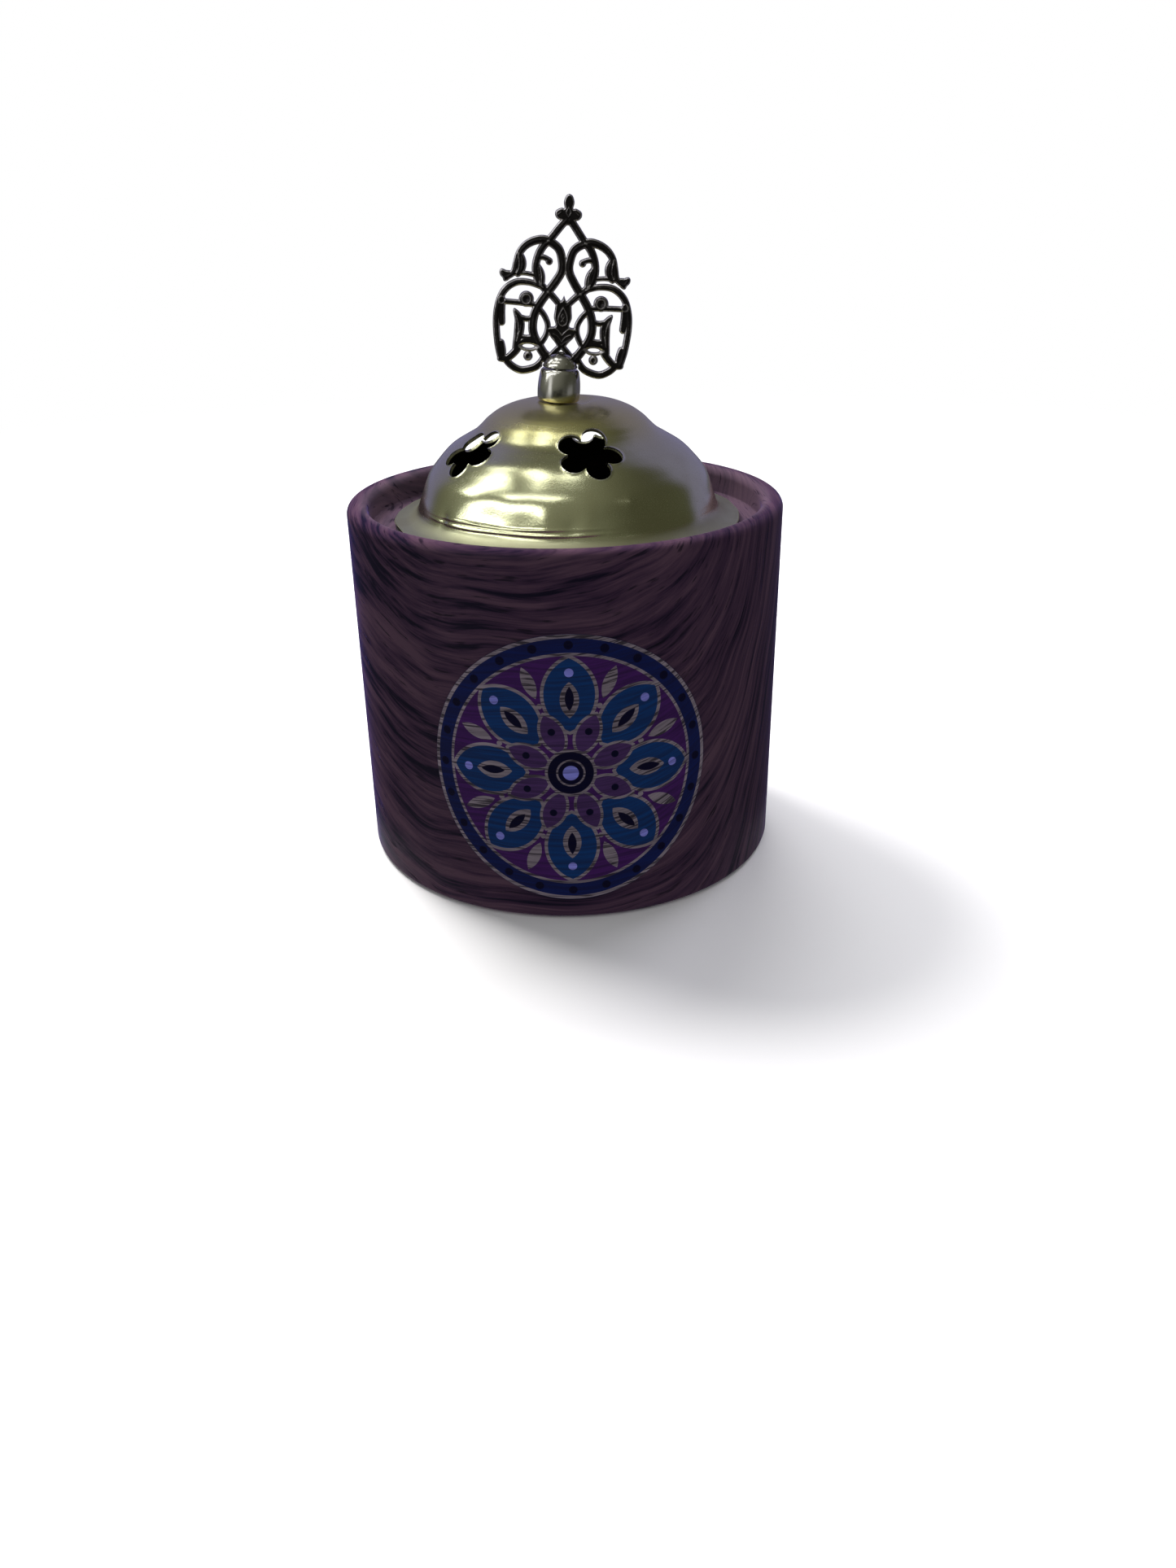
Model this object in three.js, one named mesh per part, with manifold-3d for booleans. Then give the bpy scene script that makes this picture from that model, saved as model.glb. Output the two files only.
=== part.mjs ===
// A mabkhara: a turned wooden cup that holds a metal charcoal bowl, under a pierced
// brass lid with a filigree finial. Millimetres, +Z up. The origin is the middle of
// the cup's base, and the finial's flat side faces -Y.

import * as THREE from 'three';
import { mergeVertices } from 'three/addons/utils/BufferGeometryUtils.js';
import Module from 'manifold-3d';

const wasm = await Module();
wasm.setup();

// Wooden cup
const cupHeight = 83.6;
const cupRadius = 50;
const cupBaseTaper = 0.15;
const cupBaseRound = 1.4;
const lipWall = 5;
const lipRound = 2;
const recessDepth = 5.8;
const cupSteps = 56;

// Charcoal bowl, spun from sheet, hanging by its narrow flange on the cup's ledge
const bowlSheet = 0.7;
const bowlDepth = 38;
const bowlFlangeInset = 0.8;
const bowlMouthRound = 1.1;
const bowlFloorRound = 12;
const bowlTaper = 3;
const wellClearance = 0.3;
const wellFloorClearance = 5.5;
const wellFloorRound = 9;
const bowlSteps = 44;

// Lid, pressed from brass sheet, lying on the bowl's flange
const lidSheet = 0.7;
const lidGap = 5;
const flangeWidth = 4.1;
const creaseWidth = 0.9;
const creaseRise = 0.2;
const creaseHeightShare = 0.15;
const domeHeight = 25.9;
const domeSteps = 48;
const domeRows = 13;

// The dome's two tiers: radius as a share of its foot's, height as a share of its own
const domeProfileShares = [
  [1, 0], [0.958, 0.1], [0.926, 0.22], [0.88, 0.38], [0.812, 0.5], [0.738, 0.6],
  [0.655, 0.67], [0.585, 0.725], [0.538, 0.78], [0.488, 0.845], [0.412, 0.913],
  [0.305, 0.965], [0.16, 0.993], [0, 1],
];

// Flower cut-outs: where each lies round the lid, as a share of a turn from the
// front, and up the dome, as a share of its height
const flowerPlaceShares = [[-0.365, 0.62], [-0.163, 0.652], [0.034, 0.685], [0.472, 0.6]];
const flowerPetals = 5;
const flowerReach = 7.15;
const flowerValley = 3.9;
const flowerTurn = -5;
const petalRoundness = 0.58;
const petalSteps = 6;

// Collar soldered under the lid, which drops into the bowl's mouth
const collarSheet = 0.8;
const collarDrop = 4;
const collarInset = 0.1;
const collarClearance = 0.65;
const lidDriftShare = 0.8;

// Finial's seat: a dish pressed into the crown, off centre and leaning
const finialOffset = -1.6;
const finialLean = 4.6;
const seatMargin = 0.8;
const seatDrop = 0.75;
const fitGap = 0.3;

// Ferrule: a turned barrel and its domed, slotted cap
const barrelHeight = 7;
const barrelFootRadius = 4.6;
const barrelBellyRadius = 4.7;
const barrelNeckRadius = 4.15;
const barrelBellyShare = 0.5;
const boreClearance = 0.3;
const capRadius = 3.85;
const capHeight = 3.3;
const capFloor = 0.5;
const spigotLength = 1.4;
const turnedSteps = 24;

// Screw and washer that draw the ferrule down on to the lid
const screwRadius = 1.5;
const screwReach = 5.2;
const screwHeadRadius = 2.9;
const screwHeadHeight = 1.7;
const screwSlotWidth = 0.7;
const screwSlotDepth = 0.8;
const washerRadius = 4;
const washerThickness = 0.6;
const smallSteps = 16;

// Filigree plate
const plateHalfWidth = 15.7;
const plateHeight = 37;
const plateThickness = 1.6;
const plateFoot = 5.15;
const ribbonWidth = 1.8;
const lineWidth = 1.25;
const leafWidth = 2.1;
const toothWidth = 1.9;
const bossRadius = 1.65;
const beadRadius = 1.05;
const knobRadius = 0.8;
const eyeletLength = 2.1;
const eyeletHeight = 1.2;
const eyeletRim = 0.8;
const tangHeight = 1.6;
const strokeSteps = 2;
const discSteps = 12;
const weldShare = 0.15;

const cutOverrun = 1;
const weldTolerance = 0.0001;
const plateWeldTolerance = 0.01;

// Places that follow from the sizes above
const recessRadius = cupRadius - lipWall;
const ledgeZ = cupHeight - recessDepth;
const lidRadius = recessRadius - lidGap;
const domeRadius = lidRadius - flangeWidth;
const collarRadius = domeRadius - collarInset;
const mouthRadius = collarRadius + collarClearance;
const wellRadius = mouthRadius + bowlMouthRound + wellClearance;
const wellDepth = bowlDepth + wellFloorClearance;
const lidUnderZ = ledgeZ + bowlSheet;
const lidDrift = collarClearance * lidDriftShare;
const seatRadius = barrelBellyRadius + seatMargin;

// Solids and their joins

function withoutSlivers(geometry, tolerance) {
  const bare = geometry.clone();
  bare.deleteAttribute('normal');
  bare.deleteAttribute('uv');
  const welded = mergeVertices(bare, tolerance);
  const corners = Array.from(welded.index.array);
  const kept = [];
  for (let i = 0; i < corners.length; i += 3) {
    const [a, b, c] = corners.slice(i, i + 3);
    if (a !== b && b !== c && c !== a) kept.push(a, b, c);
  }
  welded.setIndex(kept);
  return welded;
}

// Six times the volume inside a closed mesh, negative where its faces point inwards
function signedVolume(geometry) {
  const place = geometry.attributes.position;
  const index = geometry.index.array;
  const [a, b, c] = [new THREE.Vector3(), new THREE.Vector3(), new THREE.Vector3()];
  let sum = 0;
  for (let i = 0; i < index.length; i += 3) {
    a.fromBufferAttribute(place, index[i]);
    b.fromBufferAttribute(place, index[i + 1]);
    c.fromBufferAttribute(place, index[i + 2]);
    sum += a.dot(b.cross(c));
  }
  return sum;
}

function toSolid(geometry, tolerance = weldTolerance) {
  const welded = withoutSlivers(geometry, tolerance);
  const triVerts = Uint32Array.from(welded.index.array);
  if (signedVolume(welded) < 0) {
    for (let i = 0; i < triVerts.length; i += 3) {
      [triVerts[i + 1], triVerts[i + 2]] = [triVerts[i + 2], triVerts[i + 1]];
    }
  }
  const vertProperties = Float32Array.from(welded.attributes.position.array);
  return new wasm.Manifold(new wasm.Mesh({ numProp: 3, vertProperties, triVerts }));
}

function toGeometry(solid) {
  const mesh = solid.getMesh();
  const geometry = new THREE.BufferGeometry();
  geometry.setAttribute('position', new THREE.BufferAttribute(mesh.vertProperties, 3));
  geometry.setIndex(new THREE.BufferAttribute(mesh.triVerts, 1));
  geometry.computeVertexNormals();
  return geometry;
}

const union = (solids) => solids.reduce((whole, solid) => whole.add(solid));

// A solid of revolution round Z from [radius, height] points
function revolve(profile, steps, place = new THREE.Matrix4()) {
  const points = profile.map(([r, z]) => new THREE.Vector2(r, z));
  const geometry = new THREE.LatheGeometry(points, steps);
  geometry.rotateX(Math.PI / 2);
  return toSolid(geometry.applyMatrix4(place));
}

// A ring or sleeve round Z between two radii and two heights
function ring(inner, outer, low, high, steps) {
  return revolve([[inner, low], [outer, low], [outer, high], [inner, high], [inner, low]], steps);
}

function cylinder(radius, low, high, steps, place) {
  return revolve([[0, low], [radius, low], [radius, high], [0, high]], steps, place);
}

// Points on an arc about (r, z), from one angle to another in degrees
function arc(r, z, radius, from, to, steps) {
  return Array.from({ length: steps + 1 }, (_, i) => {
    const angle = THREE.MathUtils.degToRad(from + (to - from) * i / steps);
    return [r + radius * Math.cos(angle), z + radius * Math.sin(angle)];
  });
}

// A profile moved sideways by a distance, to the left of the way it runs
function offsetProfile(profile, distance) {
  return profile.map(([r, z], i) => {
    const [r0, z0] = profile[Math.max(i - 1, 0)];
    const [r1, z1] = profile[Math.min(i + 1, profile.length - 1)];
    const run = Math.hypot(r1 - r0, z1 - z0);
    return [r - distance * (z1 - z0) / run, z + distance * (r1 - r0) / run];
  });
}

// Wooden cup: a straight wall, a rounded lip, a shallow recess with a ledge for the
// bowl's flange, and a well below it
function woodenCup() {
  const baseRadius = cupRadius - cupBaseTaper;
  const floorZ = ledgeZ - wellDepth;
  const outside = [
    [0, 0],
    ...arc(baseRadius - cupBaseRound, cupBaseRound, cupBaseRound, -90, 0, 2),
    ...arc(cupRadius - lipRound, cupHeight - lipRound, lipRound, 0, 90, 3),
    ...arc(recessRadius + lipRound, cupHeight - lipRound, lipRound, 90, 180, 3),
  ];
  const inside = [
    [recessRadius, ledgeZ],
    [wellRadius, ledgeZ],
    ...arc(wellRadius - wellFloorRound, floorZ + wellFloorRound, wellFloorRound, 0, -90, 3),
    [0, floorZ],
  ];
  return revolve([...outside, ...inside], cupSteps);
}

// Charcoal bowl: flange, rounded mouth, straight throat for the lid's collar, tapered
// wall and rounded floor in one sheet
function charcoalBowl() {
  const flangeRadius = lidRadius - bowlFlangeInset;
  const top = ledgeZ + bowlSheet;
  const floorZ = ledgeZ - bowlDepth + bowlSheet;
  const bend = [mouthRadius + bowlMouthRound, top - bowlMouthRound];
  const throatZ = top - bowlMouthRound - collarDrop;
  const corner = [mouthRadius - bowlTaper - bowlFloorRound, floorZ + bowlFloorRound];
  const inside = [
    ...arc(...bend, bowlMouthRound, 90, 180, 3),
    [mouthRadius, throatZ],
    ...arc(...corner, bowlFloorRound, 0, -90, 4),
    [0, floorZ],
  ];
  const outside = [
    [0, floorZ - bowlSheet],
    ...arc(...corner, bowlFloorRound + bowlSheet, -90, 0, 4),
    [mouthRadius + bowlSheet, throatZ],
    ...arc(...bend, bowlMouthRound - bowlSheet, 180, 90, 3),
  ];
  return revolve([
    [flangeRadius, top], ...inside, ...outside, [flangeRadius, ledgeZ], [flangeRadius, top],
  ], bowlSteps);
}

// The dome's outer side from its foot to its crown, smooth through the shares, with the
// crease as a low ridge round its lower tier
function domeOutside() {
  const footZ = lidUnderZ + lidSheet;
  const knots = domeProfileShares.map(([r, z]) => (
    new THREE.Vector2(r * domeRadius, footZ + z * domeHeight)));
  const curve = new THREE.SplineCurve(knots);
  const rows = curve.getPoints(domeRows).map((p) => [Math.max(p.x, 0), p.y]);
  const creaseZ = footZ + creaseHeightShare * domeHeight;
  const above = rows.findIndex(([, z]) => z > creaseZ);
  const [r0, z0] = rows[above - 1];
  const [r1, z1] = rows[above];
  const atHeight = (z, rise) => [r0 + (r1 - r0) * (z - z0) / (z1 - z0) + rise, z];
  const crease = [
    atHeight(creaseZ - creaseWidth / 2, 0),
    atHeight(creaseZ, creaseRise),
    atHeight(creaseZ + creaseWidth / 2, 0),
  ];
  return [...rows.slice(0, above), ...crease, ...rows.slice(above)];
}

// Outline of one flower: the radius swells and closes once for each petal
function flowerShape() {
  const steps = flowerPetals * petalSteps;
  const points = Array.from({ length: steps }, (_, i) => {
    const angle = 2 * Math.PI * i / steps;
    const swell = Math.abs(Math.cos(flowerPetals * angle / 2)) ** petalRoundness;
    const radius = flowerValley + (flowerReach - flowerValley) * swell;
    return new THREE.Vector2(radius * Math.cos(angle), radius * Math.sin(angle));
  });
  return new THREE.Shape(points);
}

// A flower punch that stands square to the dome at its place
function flowerPunch([turnShare, heightShare], profile) {
  const footZ = profile[0][1];
  const height = footZ + heightShare * domeHeight;
  const i = profile.findIndex(([, z]) => z > height);
  const [r0, z0] = profile[i - 1];
  const [r1, z1] = profile[i];
  const radius = r0 + (r1 - r0) * (height - z0) / (z1 - z0);
  const turn = 2 * Math.PI * turnShare;
  const along = new THREE.Vector3(Math.cos(turn), Math.sin(turn), 0);
  const [low, high] = [profile[Math.max(i - 3, 0)], profile[Math.min(i + 2, profile.length - 1)]];
  const out = new THREE.Vector2(high[1] - low[1], low[0] - high[0]).normalize();
  const normal = new THREE.Vector3(out.x * Math.sin(turn), -out.x * Math.cos(turn), out.y);
  const up = new THREE.Vector3().crossVectors(normal, along);
  const place = new THREE.Matrix4().makeBasis(along, up, normal);
  place.setPosition(radius * Math.sin(turn), -radius * Math.cos(turn), height);
  const depth = flowerReach;
  const punch = new THREE.ExtrudeGeometry(flowerShape(), { depth, bevelEnabled: false });
  punch.rotateZ(THREE.MathUtils.degToRad(flowerTurn));
  punch.translate(0, 0, -depth / 2);
  return toSolid(punch.applyMatrix4(place));
}

// Where the finial's own frame stands: on its seat, off the lid's middle, leaning
function finialPlace() {
  const crownZ = lidUnderZ + lidSheet + domeHeight;
  const place = new THREE.Matrix4().makeRotationY(THREE.MathUtils.degToRad(finialLean));
  return place.setPosition(finialOffset, 0, crownZ - seatDrop);
}

// Lid: flange and creased two-tier dome in one sheet, with a leaning dish in the
// crown for the finial, the screw's hole and the flower cut-outs
function lidDome() {
  const outside = domeOutside();
  const footZ = outside[0][1];
  const top = lidUnderZ + lidSheet;
  const flange = [[lidRadius, lidUnderZ], [lidRadius, top]];
  const shell = revolve([[0, lidUnderZ], ...flange, ...outside], domeSteps);
  const inside = offsetProfile(outside, lidSheet).map(([r, z]) => [Math.max(r, 0), z]);
  inside[inside.length - 1][0] = 0;
  const mouth = [[0, lidUnderZ - cutOverrun], [inside[0][0], lidUnderZ - cutOverrun]];
  const hollow = revolve([...mouth, ...inside], domeSteps);
  const crown = revolve([[0, footZ], ...outside], domeSteps);
  const place = finialPlace();
  const dishRadius = seatRadius + lidSheet;
  const dish = cylinder(dishRadius, -lidSheet, domeHeight, turnedSteps, place).intersect(crown);
  const pocket = cylinder(seatRadius, 0, domeHeight, turnedSteps, place);
  const holeRadius = screwRadius + boreClearance;
  const hole = cylinder(holeRadius, -domeHeight / 2, domeHeight / 2, smallSteps, place);
  const cuts = flowerPlaceShares.map((where) => flowerPunch(where, outside));
  return union([shell.subtract(hollow), dish]).subtract(union([pocket, hole, ...cuts]));
}

function lidCollar() {
  return ring(collarRadius - collarSheet, collarRadius, lidUnderZ - collarDrop, lidUnderZ, domeSteps);
}

// Ferrule's barrel, in the finial's frame: a belly between foot and neck, and a
// bore for the screw from below and the cap's spigot from above
function ferruleBarrel() {
  const bore = screwRadius + boreClearance;
  const curve = new THREE.QuadraticBezierCurve(
    new THREE.Vector2(barrelFootRadius, fitGap),
    new THREE.Vector2(2 * barrelBellyRadius - (barrelFootRadius + barrelNeckRadius) / 2,
      barrelHeight * barrelBellyShare),
    new THREE.Vector2(barrelNeckRadius, barrelHeight));
  const side = curve.getPoints(8).map((p) => [p.x, p.y]);
  return revolve([[bore, fitGap], ...side, [bore, barrelHeight], [bore, fitGap]], turnedSteps);
}

// Ferrule's cap: a dome on a spigot, slotted across for the plate
function ferruleCap() {
  const base = barrelHeight + fitGap;
  const dome = Array.from({ length: 9 }, (_, i) => {
    const angle = Math.PI / 2 * i / 8;
    return [capRadius * Math.cos(angle), base + capHeight * Math.sin(angle)];
  });
  dome[dome.length - 1][0] = 0;
  const low = base - spigotLength;
  const body = revolve([[0, low], [screwRadius, low], [screwRadius, base], ...dome], turnedSteps);
  const slot = new THREE.BoxGeometry(
    2 * (capRadius + cutOverrun), plateThickness + 2 * fitGap, capHeight);
  slot.translate(0, 0, base + capFloor + capHeight / 2);
  return body.subtract(toSolid(slot));
}

function screwWasher() {
  const top = -lidSheet - fitGap;
  return ring(screwRadius + boreClearance, washerRadius, top - washerThickness, top, smallSteps);
}

function finialScrew() {
  const top = -lidSheet - washerThickness - 2 * fitGap;
  const low = top - screwHeadHeight;
  const edge = screwHeadHeight / 2;
  const head = arc(screwHeadRadius - edge, low + edge, edge, -90, 0, 3);
  const body = revolve([
    [0, low], ...head, [screwHeadRadius, top], [screwRadius, top],
    [screwRadius, screwReach - screwRadius / 2], [screwRadius / 2, screwReach], [0, screwReach],
  ], smallSteps);
  const slot = new THREE.BoxGeometry(
    2 * (screwHeadRadius + cutOverrun), screwSlotWidth, 2 * screwSlotDepth);
  slot.translate(0, 0, low);
  return body.subtract(toSolid(slot));
}

// Filigree plate. Its right half is drawn as strokes; x is a share of the plate's
// half width and z a share of its height from its lowest edge. The last three
// numbers of a stroke's row are its width at start, middle and end, as shares of
// the named width beside it.
const strokes = [
  // leaf tip, great loop, crossing and leg down to the cap
  { width: ribbonWidth, taperShares: [0.6, 1.05, 1.15], pathShares: [
    [0.858, 0.566], [0.81, 0.541], [0.71, 0.567], [0.67, 0.625], [0.632, 0.675], [0.547, 0.719],
    [0.414, 0.747], [0.275, 0.75], [0.114, 0.713], [0.054, 0.648], [0.053, 0.59], [0.127, 0.532],
    [0.232, 0.469], [0.327, 0.409], [0.394, 0.346], [0.413, 0.282], [0.389, 0.23], [0.328, 0.183],
    [0.2, 0.108]] },
  // stem from the bud, crossing the loop twice, to the lotus
  { width: ribbonWidth, taperShares: [0.95, 0.97, 0.8], pathShares: [
    [0.02, 0.865], [0.082, 0.838], [0.222, 0.762], [0.322, 0.716], [0.386, 0.66], [0.407, 0.596],
    [0.367, 0.535], [0.28, 0.493], [0.165, 0.455], [0.05, 0.407]] },
  // outer lobe
  { width: ribbonWidth, taperShares: [0.7, 0.87, 0.85], pathShares: [
    [0.3, 0.498], [0.48, 0.519], [0.67, 0.514], [0.825, 0.465], [0.902, 0.382], [0.917, 0.288],
    [0.888, 0.175], [0.84, 0.093]] },
  { width: toothWidth, taperShares: [0.6, 1, 0.9], pathShares: [
    [0.84, 0.425], [0.858, 0.36], [0.845, 0.293]] },
  { width: toothWidth, taperShares: [0.8, 1, 0.7], pathShares: [
    [0.84, 0.177], [0.824, 0.125], [0.83, 0.085]] },
  // bar with the boss, and the thin bar over the lobe
  { width: lineWidth, taperShares: [1, 1, 1], pathShares: [[0.87, 0.407], [0.6, 0.405], [0.36, 0.398]] },
  { width: lineWidth, taperShares: [0.8, 0.8, 0.8], pathShares: [
    [0.71, 0.56], [0.55, 0.567], [0.38, 0.558]] },
  // leaf on the great loop
  { width: leafWidth, taperShares: [0.3, 1.15, 0.5], pathShares: [
    [0.65, 0.686], [0.615, 0.64], [0.612, 0.595], [0.65, 0.556]] },
  // curl on the stem, and the leaf that hangs from it
  { width: lineWidth, taperShares: [0.95, 0.95, 0.95], pathShares: [
    [0.4, 0.652], [0.31, 0.659], [0.228, 0.646]] },
  { width: leafWidth, taperShares: [0.3, 0.85, 0.4], pathShares: [
    [0.39, 0.625], [0.34, 0.58], [0.32, 0.535], [0.315, 0.5]] },
  // standing leaf inside the lobe, with its two ties to the leg
  { width: leafWidth, taperShares: [0.3, 1.1, 0.75], pathShares: [
    [0.672, 0.365], [0.6, 0.31], [0.6, 0.235], [0.635, 0.145]] },
  { width: lineWidth, taperShares: [1, 1, 1], pathShares: [[0.59, 0.325], [0.5, 0.318], [0.41, 0.325]] },
  { width: lineWidth, taperShares: [1, 1, 1], pathShares: [[0.6, 0.218], [0.5, 0.213], [0.4, 0.218]] },
  // band from the lobe's foot over the eyelet to the leg
  { width: ribbonWidth, taperShares: [0.8, 0.98, 0.9], pathShares: [
    [0.845, 0.087], [0.75, 0.09], [0.645, 0.13], [0.555, 0.182], [0.452, 0.2], [0.345, 0.18]] },
  // crescent under the band
  { width: ribbonWidth, taperShares: [0.9, 0.92, 0.9], pathShares: [
    [0.205, 0.128], [0.286, 0.074], [0.381, 0.044], [0.55, 0.028], [0.692, 0.053], [0.786, 0.093]] },
  // thin bow between leg and lotus
  { width: lineWidth, taperShares: [1.1, 1.05, 1.1], pathShares: [
    [0.34, 0.38], [0.259, 0.344], [0.203, 0.293], [0.22, 0.237], [0.3, 0.178]] },
  // foot of the lotus
  { width: lineWidth, taperShares: [1.05, 1.05, 1.05], pathShares: [
    [0.01, 0.18], [0.108, 0.137], [0.18, 0.1]] },
];

// Half outline of the lotus, from its tip down to its foot
const lotusShares = [
  [0, 0.462], [0.035, 0.432], [0.1, 0.425], [0.118, 0.375], [0.125, 0.335], [0.1, 0.29],
  [0.222, 0.28], [0.175, 0.235], [0.09, 0.195], [0.05, 0.165],
];
// Half outline of the bud at the tip
const budShares = [
  [0, 1], [0.045, 0.99], [0.072, 0.957], [0.06, 0.925], [0.1, 0.926], [0.172, 0.91],
  [0.18, 0.885], [0.14, 0.865], [0.07, 0.858], [0.03, 0.835],
];
const bossShares = [0.515, 0.428];
const knobShares = [0.228, 0.64];
const bandCrownShares = [0.458, 0.2];

// A flat shape in the plate's plane becomes a solid as thick as the plate
function plateSolid(points) {
  const shape = new THREE.Shape(points.map(([x, z]) => new THREE.Vector2(x, z)));
  const sheet = new THREE.ExtrudeGeometry(shape, { depth: plateThickness, bevelEnabled: false });
  sheet.translate(0, 0, -plateThickness / 2);
  return toSolid(sheet.rotateX(Math.PI / 2));
}

const onPlate = ([x, z], side) => [side * x * plateHalfWidth, plateFoot + z * plateHeight];

// A stroke: a band of changing width along a smooth line
function stroke({ width, taperShares, pathShares }, side) {
  const knots = pathShares.map((share) => new THREE.Vector2(...onPlate(share, side)));
  const curve = new THREE.SplineCurve(knots);
  const steps = (knots.length - 1) * strokeSteps;
  const [start, middle, end] = taperShares;
  const left = [];
  const right = [];
  for (let i = 0; i <= steps; i += 1) {
    const t = i / steps;
    const swell = Math.sin(Math.PI * t);
    const ends = t < 0.5 ? start : end;
    const half = width * (ends + (middle - ends) * swell) / 2;
    const p = curve.getPoint(t);
    const way = curve.getTangent(t);
    left.push([p.x - way.y * half, p.y + way.x * half]);
    right.unshift([p.x + way.y * half, p.y - way.x * half]);
  }
  return plateSolid([...left, ...right]);
}

function disc([x, z], radiusX, radiusZ = radiusX) {
  return plateSolid(Array.from({ length: discSteps }, (_, i) => {
    const angle = 2 * Math.PI * i / discSteps;
    return [x + radiusX * Math.cos(angle), z + radiusZ * Math.sin(angle)];
  }));
}

// A smooth closed outline that is the same on both sides of the middle line
function mirrored(halfShares) {
  const right = halfShares.map((share) => onPlate(share, 1));
  const left = halfShares.slice(1).reverse().map((share) => onPlate(share, -1));
  return plateSolid([...right, ...left]);
}

function filigreePlate() {
  const solids = [mirrored(lotusShares), mirrored(budShares)];
  const slots = [];
  for (const side of [-1, 1]) {
    solids.push(...strokes.map((row) => stroke(row, side)));
    solids.push(disc(onPlate(bossShares, side), bossRadius));
    solids.push(disc(onPlate(knobShares, side), knobRadius));
    const [crownX, crownZ] = onPlate(bandCrownShares, side);
    const eyelet = [crownX, crownZ - eyeletHeight];
    solids.push(disc(eyelet, eyeletLength, eyeletHeight));
    slots.push(disc(eyelet, eyeletLength - eyeletRim, eyeletHeight - eyeletRim));
    const bead = crownZ - 2 * eyeletHeight - beadRadius * (1 - weldShare);
    solids.push(disc([crownX, bead], beadRadius));
  }
  const low = barrelHeight + capFloor + 2 * fitGap;
  const half = capRadius - ribbonWidth / 2;
  solids.push(plateSolid([
    [-half, low], [half, low], [half, low + tangHeight], [-half, low + tangHeight]]));
  // the plate clears the ferrule by the same gap all round, below the slot's floor too
  const notch = cylinder(capRadius + fitGap, -plateHeight, low, turnedSteps);
  const plate = union(solids).subtract(union([...slots, notch]));
  // corners that all but meet become one
  return toSolid(toGeometry(plate), plateWeldTolerance);
}

// Assembly

function named(name, solid, colour, roughness, metalness) {
  const material = new THREE.MeshStandardMaterial({ color: colour, roughness, metalness });
  const mesh = new THREE.Mesh(toGeometry(solid), material);
  mesh.name = name;
  return mesh;
}

const lacqueredBrass = [0xc9c08a, 0.3, 1];
const nickelledBrass = [0xb9b7a4, 0.22, 1];
const darkBrass = [0x4a4744, 0.4, 0.9];
const walnut = [0x4b3740, 0.55, 0];
const bowlMetal = [0xa8a59c, 0.4, 1];
const steel = [0x9a9a9c, 0.35, 1];

const finial = new THREE.Group();
finial.add(named('ferrule_barrel', ferruleBarrel(), ...nickelledBrass));
finial.add(named('ferrule_cap', ferruleCap(), ...nickelledBrass));
finial.add(named('filigree_plate', filigreePlate(), ...darkBrass));
finial.add(named('finial_screw', finialScrew(), ...steel));
finial.add(named('screw_washer', screwWasher(), ...steel));
finial.applyMatrix4(finialPlace());

const lid = new THREE.Group();
lid.add(named('lid_dome', lidDome(), ...lacqueredBrass));
lid.add(named('lid_collar', lidCollar(), ...lacqueredBrass));
lid.add(finial);
lid.position.x = lidDrift;

const mabkhara = new THREE.Group();
mabkhara.add(named('wooden_cup', woodenCup(), ...walnut));
mabkhara.add(named('charcoal_bowl', charcoalBowl(), ...bowlMetal));
mabkhara.add(lid);

export default mabkhara;
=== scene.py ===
import math

import bpy
import numpy as np
from mathutils import Matrix, Vector

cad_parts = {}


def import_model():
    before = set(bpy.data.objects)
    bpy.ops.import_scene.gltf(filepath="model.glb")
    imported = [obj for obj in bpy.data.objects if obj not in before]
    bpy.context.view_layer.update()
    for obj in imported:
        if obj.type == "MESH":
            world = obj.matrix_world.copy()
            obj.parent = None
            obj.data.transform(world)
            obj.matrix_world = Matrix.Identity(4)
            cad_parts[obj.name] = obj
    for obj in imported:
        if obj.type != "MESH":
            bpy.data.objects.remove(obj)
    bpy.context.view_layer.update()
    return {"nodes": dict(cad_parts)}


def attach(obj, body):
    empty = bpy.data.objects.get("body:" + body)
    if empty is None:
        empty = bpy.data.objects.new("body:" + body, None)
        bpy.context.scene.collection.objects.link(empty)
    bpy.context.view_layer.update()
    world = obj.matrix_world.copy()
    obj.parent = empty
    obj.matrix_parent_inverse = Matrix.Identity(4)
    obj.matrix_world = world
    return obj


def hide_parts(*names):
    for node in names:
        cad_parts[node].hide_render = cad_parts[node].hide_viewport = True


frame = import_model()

MM = 0.001  # the sizes below are in millimetres, and the scene is in metres

# Sizes

# Wooden cup
CUP_HEIGHT = 83.6
CUP_RADIUS = 49.88
CUP_BASE_TAPER = 0.15
CUP_BASE_ROUND = 1.4
RECESS_RADIUS = 45
LIP_ROUND = 2
LEDGE_Z = 77.8
LEDGE_ROUND = 0.3
WELL_RADIUS = 37.85
WELL_FLOOR_Z = 34.3
WELL_FLOOR_ROUND = 9

# Printed medallion
PRINT_RADIUS = 30.9
PRINT_Z = 36
PRINT_TOP = 49.95
PRINT_BOTTOM = 49.84

# Charcoal bowl
SHEET = 0.7
BOWL_FLANGE_RADIUS = 39.2
BOWL_TOP_Z = LEDGE_Z + SHEET
BOWL_MOUTH_RADIUS = 36.45
BOWL_MOUTH_ROUND = 1.1
BOWL_THROAT = 4
BOWL_TAPER = 3
BOWL_FLOOR_ROUND = 12
BOWL_FLOOR_Z = 40.5
SHEET_ROUND = 0.2  # at the cut edges of the bowl and the collar

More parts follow.
